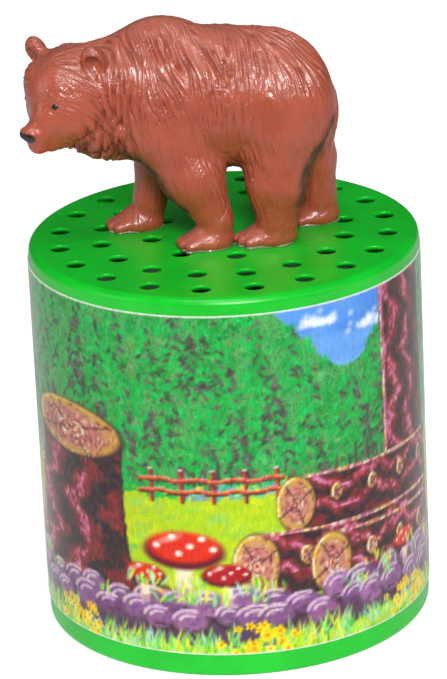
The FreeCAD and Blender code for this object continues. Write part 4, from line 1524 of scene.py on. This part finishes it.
def paint_rings(art, u, v, broad, tall):
    """The sawn end of a trunk: a dark edge, a lit rim, rings, a heart and a few cracks."""

    def ring(angle, reach):
        return u + broad * reach * math.cos(angle), v + tall * reach * math.sin(angle)

    art.dab(u, v, broad * 1.1, tall * 1.12, LEVEL, art.pick(BARK_DARK, 4), 1.0, 0.12, leafy=0.0)
    art.dab(u - broad * 0.03, v + tall * 0.03, broad * 1.03, tall * 1.03, LEVEL, (238, 206, 96), 1.0, 0.12)
    for number, size in enumerate((0.96, 0.86, 0.72, 0.62, 0.48, 0.4, 0.27, 0.2, 0.09)):
        colour = art.shade((132, 52, 58) if number % 2 == 0 else WOOD[number // 2 % 3], 6)
        art.dab(u, v, broad * size, tall * size, LEVEL, colour, 0.92, 0.3)
    for _ in range(int(broad * tall * 5)):
        angle, reach = art.any(0, 2 * math.pi), art.any(0.1, 0.95)
        tones = WOOD_DARK if art.chance(0.62) else WOOD
        art.dab(*ring(angle, reach), 0.5, 0.22, angle + UPRIGHT, art.pick(tones, 12), 0.75, 0.5)
    for angle in (0.5, 2.2, 3.6, 5.1):
        art.stroke([ring(angle, t) for t in (0.25, 0.6, 0.95)], 0.16, BARK_DARK, 0.8, 6)
    for angle in np.arange(1.7, 3.6, 0.12):
        art.dab(*ring(angle, 0.96), 0.35, 0.25, angle + UPRIGHT, art.pick(RIM, 5), 0.85, 0.5)


def paint_log(art, left, right, middle, half, slope):
    """A fallen log, lit from above, with a sawn end on the left."""

    def line(place):
        return middle + (place - left) * slope

    for place in np.arange(left, right, 0.5):
        for side in np.arange(-1, 1.01, 0.5 / half):
            tone = art.pick(bark_tone(art, -side, place - left), 9)
            art.dab(place, line(place) + side * half, 0.95, 0.42, slope, tone, 0.95, 0.45, leafy=0.0)
    top = [(place, line(place) + half) for place in np.arange(left, right, 2.0)]
    art.stroke(top, 0.34, RIM + BARK_LIGHT, 0.9, 8)
    art.stroke([(a, b - 2 * half) for a, b in top], 0.5, BARK_DARK, 0.9, 5)
    for knot in np.arange(left + half * 1.6, right - 2, 7.5):
        paint_rings(art, knot, line(knot) + half * 0.2, half * 0.22, half * 0.3)
    paint_rings(art, left, middle, half * 0.72, half * 1.02)


def paint_toadstool(art, u, foot, size):
    """A red cap with pale dots on a cream stalk."""

    def cap(shift, lift, long, broad, *rest, **more):
        art.dab(u + size * shift, foot + size * (1.12 + lift), size * long, size * broad, *rest, **more)

    for lift in np.linspace(0, 1, 7):
        tone = art.shade((244, 226, 196) if lift > 0.3 else (200, 168, 170), 6)
        art.dab(u, foot + size * lift, size * 0.26, size * 0.16, LEVEL, tone, 0.95, 0.4, leafy=0.0)
    cap(0, -0.06, 1.0, 0.44, LEVEL, (90, 22, 34), 1.0, 0.2, leafy=0.0)
    cap(0, 0.06, 0.93, 0.42, LEVEL, art.pick(CAP_RED, 6), 1.0, 0.25)
    cap(-0.3, 0.24, 0.42, 0.12, 0.35, (252, 170, 160), 0.8, 0.7)
    for shift, lift in ((-0.6, 0.07), (-0.24, 0.29), (0.16, 0.09), (0.42, 0.27), (0.66, 0.03), (-0.1, -0.09)):
        cap(shift, lift, 0.11, 0.085, LEVEL, (255, 246, 236), 0.95, 0.5)


def paint_stone(art, u, v, broad, tall):
    """A rounded stone: dark foot, purple body and pale folds on its upper left."""
    art.dab(u + 0.2, v - tall * 0.2, broad * 1.12, tall, LEVEL, art.pick(STONE_DARK, 5), 1.0, 0.2, leafy=0.0)
    art.dab(u - 0.1, v + tall * 0.04, broad, tall * 0.9, 0.08, art.pick(STONE, 6), 1.0, 0.25)
    for _ in range(int(broad * tall * 3)):
        angle, reach = art.any(0, 2 * math.pi), art.any(0, 0.8)
        side, lift = reach * math.cos(angle), reach * math.sin(angle)
        lean = -side * 0.9 + art.sway(0.2)
        tone = art.pick(STONE_DARK if lift - side * 0.3 < -0.3 else STONE, 8)
        art.dab(u + side * broad, v + lift * tall, 0.8, 0.3, lean, tone, 0.8, 0.6)
    for size in (0.86, 0.5):
        path = []
        for angle in np.linspace(1.1, 2.9, 7):
            path.append((u + broad * size * math.cos(angle) - 0.2, v + tall * size * math.sin(angle)))
        art.stroke(path, 0.26 + 0.12 * size, STONE_LIGHT, 0.8, 8)


def paint_grass(art, u, foot, blades, tall):
    for _ in range(blades):
        lean = art.sway(0.4)
        half = tall * art.any(0.5, 1.1) / 2
        place = (u + art.sway(1.2) + math.sin(lean) * half, foot + math.cos(lean) * half)
        art.dab(*place, half, 0.26, UPRIGHT - lean, art.pick(GRASS, 10), 0.9, 0.5, leafy=0.0)


def paint_fence(art, left, right, foot):
    """A rail fence of red-brown poles with lit upper edges across the meadow."""
    for place in np.arange(left, right + 0.1, 5.2):
        post = [(place, foot), (place, foot + 5.2)]
        art.stroke([(a + 0.2, b) for a, b in post], 0.42, BARK_DARK, 0.95, 5, leafy=0.0)
        art.stroke(post, 0.34, POLE, 0.95, 10)
        art.dab(place, foot + 5.5, 0.5, 0.25, LEVEL, (250, 200, 220), 0.9, 0.4)
    for lift in (1.7, 3.7):
        steps = np.arange(left - 2, right + 2, 2.0)
        rail = [(place, foot + lift + 0.25 * math.sin(place)) for place in steps]
        art.stroke([(a, b - 0.3) for a, b in rail], 0.3, BARK_DARK, 0.9, 5, leafy=0.0)
        art.stroke(rail, 0.3, RAIL, 0.95, 10)
        art.stroke([(a, b + 0.28) for a, b in rail], 0.14, RAIL_LIT, 0.8, 10)


def paint_flower(art, u, v, size):
    colour = art.pick(FLOWER, 6)
    for angle in np.arange(0, 2 * math.pi, 1.257):
        place = (u + size * 0.55 * math.cos(angle), v + size * 0.45 * math.sin(angle))
        art.dab(*place, size * 0.5, size * 0.34, angle, colour, 0.95, 0.5, leafy=0.0)
    art.dab(u, v, size * 0.3, size * 0.26, LEVEL, (236, 84, 40), 0.95, 0.5)


def paint_picture(seed):
    """A generic woodland print: firs, meadow, stumps, logs, toadstools and stones."""
    art = Canvas(seed)
    paint_sky(art)
    paint_forest(art)
    paint_meadow(art)
    paint_fence(art, FRONT - 14, FRONT + 8, 27.0)
    paint_fence(art, FRONT - 96, FRONT - 60, 26.5)
    for u, *sizes in STUMPS:
        paint_stump(art, FRONT + u, *sizes)
    for left, right, *sizes in LOGS:
        paint_log(art, FRONT + left, FRONT + right, *sizes)
    paint_stump(art, FRONT - 32, 8, 36, 11.4, 0.05, True, 1.1)
    low = ridge_line(art.u, 8.6, 0.7, 5)
    art.wash((art.v < low) & (art.v > low - 6.5), (84, 58, 88))
    for first, lift in ((0, 8.6), (2.6, 6.2)):
        for u in art.around(5.4, 0.8, first):
            paint_stone(art, u, lift + art.any(-0.6, 1.2), art.any(2.6, 4.0), art.any(2.0, 3.0))
    for u, foot, size in TOADSTOOLS:
        paint_toadstool(art, FRONT + u, foot, size)
    for u, v in art.scatter(60, 8, 12):
        paint_grass(art, u, v, 5, 3.4)
    for start in np.arange(0, LABEL_LONG, 1.1):
        paint_grass(art, start, art.any(-2.0, 1.0), 8, art.any(3.4, 6.6))
    for u, v in art.scatter(420, 0.4, 5.2):
        if math.sin(u * 0.19 + 0.6) + art.sway(0.35) > 0.45:
            paint_flower(art, u, v, art.any(0.7, 1.3))
    art.wash(art.v > LABEL_TALL - 0.22, (236, 238, 232))
    art.wash(art.v < 0.2, (226, 230, 220))
    return art


# The finer columns of the label's grid end this far either side of its front
FRONT_HALF = 52.0
SEAM_SLOPE = 1.2


def linear_colour(colour):
    """An sRGB colour from 0 to 1 in linear values, as a table with alpha."""
    linear = np.where(colour <= 0.04045, colour / 12.92, ((colour + 0.055) / 1.055) ** 2.4)
    return np.concatenate([linear, np.ones((len(linear), 1))], 1)


def make_label(groups):
    label = settings("noise_print")
    film = label.film / MM
    art = paint_picture(label.seed)
    half = LABEL_LONG / 2
    across = np.concatenate([
        np.arange(-half, -FRONT_HALF, 0.42),
        np.arange(-FRONT_HALF, FRONT_HALF, 0.31),
        np.arange(FRONT_HALF, half + label.overlap / MM, 0.42),
    ])
    columns = len(across)
    rows = 166
    lap = np.clip((across - half + SEAM_SLOPE) / SEAM_SLOPE, 0, 1)
    base = CAN_RADIUS + 0.02 + lap * lap * (3 - 2 * lap) * film
    number, lift = np.meshgrid(np.arange(columns), np.linspace(0, 1, rows), indexing="ij")
    angle = (across / LABEL_RADIUS - math.pi / 2)[number]

    def sheet(radius):
        sides = (radius * np.cos(angle), radius * np.sin(angle), LABEL_LOW + lift * LABEL_TALL)
        return np.stack(sides, -1).reshape(-1, 3)

    skin = sheet((base + film)[number])
    back = sheet(base[number])
    column = np.arange(columns - 1)
    faces = []
    for row in range(rows - 1):
        first = column * rows + row
        faces.append(np.stack([first, first + rows, first + rows + 1, first + 1], -1))
    edges = [back[np.arange(columns) * rows + row] for row in (0, rows - 1)]
    points = np.concatenate([skin, *edges])
    low_ring, high_ring = len(skin), len(skin) + columns
    low, high = low_ring + column, high_ring + column
    top = column * rows + rows - 1
    bottom = column * rows
    faces.append(np.stack([top, top + rows, high + 1, high], -1))
    faces.append(np.stack([low, low + 1, bottom + rows, bottom], -1))
    faces.append(np.stack([high, high + 1, low + 1, low], -1))
    faces = np.concatenate(faces).tolist()
    last = (columns - 1) * rows
    faces.append((*range(rows), high_ring, low_ring))
    faces.append((*range(last + rows - 1, last - 1, -1), low_ring + columns - 1, high_ring + columns - 1))
    piece = mesh_object("label_film", points, faces)
    mesh = piece.data
    rest = len(points) - len(skin)
    place_u = np.clip((across[number].ravel() + half) / GRAIN, 0, None)
    colour, leafy = sample_canvas(art, place_u, lift.ravel() * LABEL_TALL / GRAIN)
    colour = np.concatenate([colour, np.full((rest, 3), 240.0)]) / 255
    fill_layer(mesh.attributes.new("paint", "FLOAT_COLOR", "POINT"), "color", linear_colour(colour))
    add_mask(mesh, "foliage", np.concatenate([leafy, np.zeros(rest)]))
    add_mask(mesh, "edge", np.concatenate([np.zeros(len(skin)), np.ones(rest)]))
    uv = mesh.uv_layers.new(name="print")
    corner = np.zeros(len(mesh.loops), np.int64)
    mesh.loops.foreach_get("vertex_index", corner)
    flat_u = np.concatenate([across[number].ravel(), across, across])
    ends = [np.zeros(columns), np.full(columns, LABEL_TALL)]
    flat_v = np.concatenate([lift.ravel() * LABEL_TALL, *ends])
    fill_layer(uv, "uv", np.stack([flat_u[corner], flat_v[corner]], -1) / UV_MM)
    dress(piece, label_material(groups))
    set_sharp(mesh, 40)
    settle(piece, "box", ["label"])


def sample_canvas(art, across, up):
    """Paint between the canvas's own points."""
    left = np.floor(across).astype(int)
    low = np.clip(np.floor(up).astype(int), 0, art.tall - 2)
    right_share = (across - left)[:, None]
    high_share = np.clip(up - low, 0, 1)[:, None]
    stack = np.concatenate([art.colour, art.foliage[..., None]], -1)

    def level(row):
        first, second = stack[row, left % art.wide], stack[row, (left + 1) % art.wide]
        return first * (1 - right_share) + second * right_share

    found = level(low) * (1 - high_share) + level(low + 1) * high_share
    return found[:, :3], found[:, 3]


# The voice unit

def make_pad(name, node, inner, material):
    """A felt or foam ring or disc with rounded, slightly uneven edges."""
    low, high = (corner.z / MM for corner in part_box(node))
    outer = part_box(node)[1].x / MM
    edge = min((high - low) * 0.3, 0.6)
    profile = arc((outer - edge, high - edge), edge, 90, 0, 5)
    profile += arc((outer - edge, low + edge), edge, 0, -90, 5)
    if inner > 0:
        bore = arc((inner + edge, low + edge), edge, 270, 180, 5)
        profile = bore + arc((inner + edge, high - edge), edge, 180, 90, 5) + profile
    else:
        profile = [(0.0, high), *profile, (0.0, low)]
    piece = lathe(name, profile, 120)
    mesh = piece.data
    points = np.zeros(len(mesh.vertices) * 3)
    mesh.vertices.foreach_get("co", points)
    points = points.reshape(-1, 3) / MM
    away = np.hypot(points[:, 0], points[:, 1])
    fuzz = 1 - 0.0016 * (1 + lattice_noise(points / 1.7, 91))
    points[:, :2] *= np.where(away > outer - 1, fuzz, 1)[:, None]
    mesh.vertices.foreach_set("co", (points * MM).ravel())
    dress(piece, material)
    set_sharp(mesh, 50)
    settle(piece, "box", [node])


# The bellows: the hoop or plate that each pleat hangs from and the share of the weight's way that it
# goes, the film's thickness, and the pleats' outer and inner radii
PLEATS = (("hoop_low", 0.25), ("hoop_middle", 0.5), ("hoop_high", 0.75), ("weight", 1.0))
FILM = 0.15
PLEAT_OUTER = 24.0
PLEAT_VALLEY = 20.6
PLEAT_STEPS = 120


def pleat_outline(index, base, tall, flange):
    """One pleat in profile, with the flange at either end of the bellows."""
    deep = PLEAT_OUTER - PLEAT_VALLEY
    outline = []
    for lift in np.linspace(0, 1, 17):
        bend = 0.5 - 0.5 * math.cos(2 * math.pi * lift)
        outline.append((PLEAT_OUTER - deep * bend**0.8, base + tall * lift))
    if index == 0:
        outline[0] = (PLEAT_OUTER, base + FILM / 2)
        outline.insert(0, (flange, base + FILM / 2))
    if index == len(PLEATS) - 1:
        outline[-1] = (PLEAT_OUTER, base + tall - FILM / 2)
        outline.append((flange, base + tall - FILM / 2))
    return outline


def make_bellows(material):
    """The film, one pleat to a piece."""
    low, high = (corner.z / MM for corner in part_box("bellows"))
    tall = (high - low) / len(PLEATS)
    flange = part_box("bellows")[1].x / MM
    for index, (body, share) in enumerate(PLEATS):
        base = low + tall * index
        outline = pleat_outline(index, base, tall, flange)
        points = []
        for step in range(PLEAT_STEPS):
            turn = 2 * math.pi * step / PLEAT_STEPS
            for number, (radius, height) in enumerate(outline):
                crease = 0.07 * math.sin(turn * 15 + number * 0.9 + index) * (PLEAT_OUTER - radius) / 3.4
                reach = radius + crease
                points.append((reach * math.cos(turn), reach * math.sin(turn), height))
        count = len(outline)
        faces = []
        for step in range(PLEAT_STEPS):
            here, there = step * count, (step + 1) % PLEAT_STEPS * count
            for number in range(count - 1):
                faces.append((here + number, there + number, there + number + 1, here + number + 1))
        piece = mesh_object(f"bellows_pleat_{index + 1}", points, faces)
        shell = piece.modifiers.new("Film", "SOLIDIFY")
        shell.thickness = FILM * MM * 0.8
        shell.offset = 0.0
        bake_modifiers(piece)
        dress(piece, material)
        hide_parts("bellows")
        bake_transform(piece)


# The look of each finish inside the can, and the pieces that have it
INNER_FINISHES = {
    "white_plastic": (
        dict(light=(232, 232, 226), dark=(214, 214, 206), rough=0.42, peel=0.8),
        "bellows_base guide_tube tube_cap lower_clamp_ring upper_clamp_ring weight_carrier horn "
        "reed_block reed_clip",
    ),
    "spring_wire": (
        dict(light=(206, 206, 208), dark=(170, 170, 174), rough=0.28, metal=1.0, brushed=True),
        "bellows_hoop_low bellows_hoop_middle bellows_hoop_high",
    ),
    "weight_steel": (
        dict(light=(176, 178, 182), dark=(134, 136, 142), rough=0.38, metal=1.0, peel=2.2, brushed=True),
        "weight_ring",
    ),
    "reed_brass": (
        dict(light=(226, 190, 110), dark=(196, 156, 84), rough=0.25, metal=1.0, brushed=True),
        "reed_tongue",
    ),
}


# Operators

def all_groups():
    found = {}
    for key, name, make in (
        ("skin", "Moulded skin", moulded_skin_group),
        ("fibre", "Fibres", fibre_group),
        ("print", "Printed picture", print_group),
    ):
        found[key] = bpy.data.node_groups.get(name) or make()
    return found


class NOISE_OT_can(bpy.types.Operator):
    """Give the can its plastic and make the perforated lid"""

    bl_idname = "noise_box.can"
    bl_label = "Can and lid"

    def execute(self, context):
        plastic = green_plastic(all_groups())
        dress(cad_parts["can_body"], plastic)
        make_lid(plastic)
        return {"FINISHED"}


class NOISE_OT_label(bpy.types.Operator):
    """Make the printed film round the can"""

    bl_idname = "noise_box.label"
    bl_label = "Label"

    def execute(self, context):
        make_label(all_groups())
        return {"FINISHED"}


class NOISE_OT_bear(bpy.types.Operator):
    """Sculpt the moulded bear and the glue under its paws"""

    bl_idname = "noise_box.bear"
    bl_label = "Bear"

    def execute(self, context):
        groups = all_groups()
        make_bear(groups)
        make_glue(groups)
        return {"FINISHED"}


class NOISE_OT_voice(bpy.types.Operator):
    """Dress the voice unit: film, pads, weight, horn and reed"""

    bl_idname = "noise_box.voice"
    bl_label = "Voice unit"

    def execute(self, context):
        groups = all_groups()
        for name, (look, nodes) in INNER_FINISHES.items():
            finish = plain_material(groups, name.replace("_", " "), **look)
            for node in nodes.split():
                dress(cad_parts[node], finish)
        felt = soft_material(groups, "grey felt", (120, 120, 122), (74, 74, 78), 2.4, 0.0)
        foam = soft_material(groups, "grey foam", (92, 92, 94), (48, 48, 52), 2.0, 0.8)
        make_pad("felt_disc", "bottom_felt", 0.0, felt)
        make_pad("felt_ring", "top_felt", 17.0, felt)
        make_pad("foam_gasket", "foam_ring", 27.0, foam)
        film = plain_material(groups, "bellows film", (214, 216, 212), (190, 192, 188), 0.3, clear=0.35)
        make_bellows(film)
        return {"FINISHED"}


class NOISE_OT_stage(bpy.types.Operator):
    """Set the floor, the backdrop, the lamps and the camera"""

    bl_idname = "noise_box.stage"
    bl_label = "Stage"

    def execute(self, context):
        make_floor()
        make_lamps()
        make_camera()
        return {"FINISHED"}


WHITE = (1.0, 1.0, 1.0, 1.0)
# Half the floor's side, and how far it reaches towards the camera
FLOOR_HALF = 3.0
FLOOR_FRONT = -0.2


def make_floor():
    """A pale floor that shines for the camera, so that it runs into the backdrop."""
    mesh = bpy.data.meshes.new("floor")
    front = [(-FLOOR_HALF, FLOOR_FRONT, 0), (FLOOR_HALF, FLOOR_FRONT, 0)]
    back = [(FLOOR_HALF, FLOOR_HALF, 0), (-FLOOR_HALF, FLOOR_HALF, 0)]
    mesh.from_pydata(front + back, [], [(0, 1, 2, 3)])
    floor = bpy.data.objects.new("floor", mesh)
    bpy.context.scene.collection.objects.link(floor)
    material, work, shader = new_material("pale floor")
    path = work.add("ShaderNodeLightPath").outputs
    shiny = work.times(path["Is Glossy Ray"], 0.1)
    seen = work.most(path["Is Camera Ray"], shiny, path["Is Transmission Ray"])
    work.fill(shader, {
        "Base Color": paint(246, 246, 246),
        "Roughness": 0.9,
        "Specular IOR Level": 0.1,
        "Emission Color": WHITE,
        "Emission Strength": work.times(seen, 0.62),
    })
    dress(floor, material)


# Each lamp's place, its power as a share of the key light's and its size
LAMPS = {
    "key": ((0.08, -0.69, 0.49), 0.88, (0.24, 0.24)),
    "fill": ((0.75, -0.45, 0.35), 0.1, (0.4, 0.5)),
    "left": ((-0.75, -0.3, 0.35), 0.17, (0.4, 0.5)),
    "top": ((-0.04, -0.3, 0.88), 0.32, (0.3, 0.3)),
}
LAMP_AIM = Vector((0, 0, 0.06))


def make_lamps():
    stage = settings("noise_stage")
    scene = bpy.context.scene
    scene.world = bpy.data.worlds.new("studio")
    scene.world.use_nodes = True
    work = Tree(scene.world.node_tree)
    path = work.add("ShaderNodeLightPath").outputs
    strength = work.most(
        path["Is Camera Ray"],
        path["Is Transmission Ray"],
        work.times(path["Is Glossy Ray"], stage.shine),
        work.times(path["Is Diffuse Ray"], stage.world),
    )
    work.fill(scene.world.node_tree.nodes["Background"], {"Color": WHITE, "Strength": strength})
    for name, (place, share, size) in LAMPS.items():
        data = bpy.data.lights.new(name, "AREA")
        data.energy = stage.key * share
        data.shape = "RECTANGLE"
        data.size, data.size_y = size
        lamp = bpy.data.objects.new(name, data)
        scene.collection.objects.link(lamp)
        lamp.location = place
        lamp.rotation_euler = (LAMP_AIM - Vector(place)).to_track_quat("-Z", "Y").to_euler()


# The photograph's longer side, and how far left of its middle the can stands, in pixels
PHOTO_TALL = 679
PHOTO_SHIFT = -4.57


def make_camera():
    stage = settings("noise_stage")
    scene = bpy.context.scene
    scene.view_settings.view_transform = "Standard"
    data = bpy.data.cameras.new("camera")
    camera = bpy.data.objects.new("camera", data)
    scene.collection.objects.link(camera)
    scene.camera = camera
    back = Vector((0, -math.cos(stage.elevation), math.sin(stage.elevation)))
    right = Vector((1, 0, 0))
    up = back.cross(right)
    cosine, sine = math.cos(stage.roll), math.sin(stage.roll)
    rolled_right = right * cosine + up * sine
    rolled_up = up * cosine - right * sine
    turn = Matrix((rolled_right, rolled_up, back)).transposed()
    place = Vector((0, 0, stage.aim_height)) + back * stage.distance
    camera.matrix_world = Matrix.Translation(place) @ turn.to_4x4()
    data.sensor_width = 36
    data.lens = stage.lens
    data.shift_x = PHOTO_SHIFT / PHOTO_TALL
    data.clip_start = 0.01
    data.clip_end = 20


class NOISE_PT_panel(bpy.types.Panel):
    """Sizes, colours and the steps that make the noise box"""

    bl_idname = "NOISE_PT_panel"
    bl_label = "Animal noise box"
    bl_space_type = "VIEW_3D"
    bl_region_type = "UI"
    bl_category = "Noise box"

    def draw(self, context):
        for operator in STEPS:
            self.layout.operator(operator.bl_idname)
        for name, group in SETTINGS.items():
            column = self.layout.column(align=True)
            for key in group.__annotations__:
                column.prop(getattr(context.scene, name), key)


STEPS = (NOISE_OT_can, NOISE_OT_label, NOISE_OT_bear, NOISE_OT_voice, NOISE_OT_stage)


def register():
    for name, group in SETTINGS.items():
        bpy.utils.register_class(group)
        setattr(bpy.types.Scene, name, PointerProperty(type=group))
    for item in (*STEPS, NOISE_PT_panel):
        bpy.utils.register_class(item)


def unregister():
    for item in reversed((*STEPS, NOISE_PT_panel)):
        bpy.utils.unregister_class(item)
    for name, group in reversed(SETTINGS.items()):
        delattr(bpy.types.Scene, name)
        bpy.utils.unregister_class(group)


def main():
    register()
    steps = bpy.ops.noise_box
    for step in (steps.can, steps.label, steps.bear, steps.voice, steps.stage):
        step()


if __name__ == "__main__":
    main()
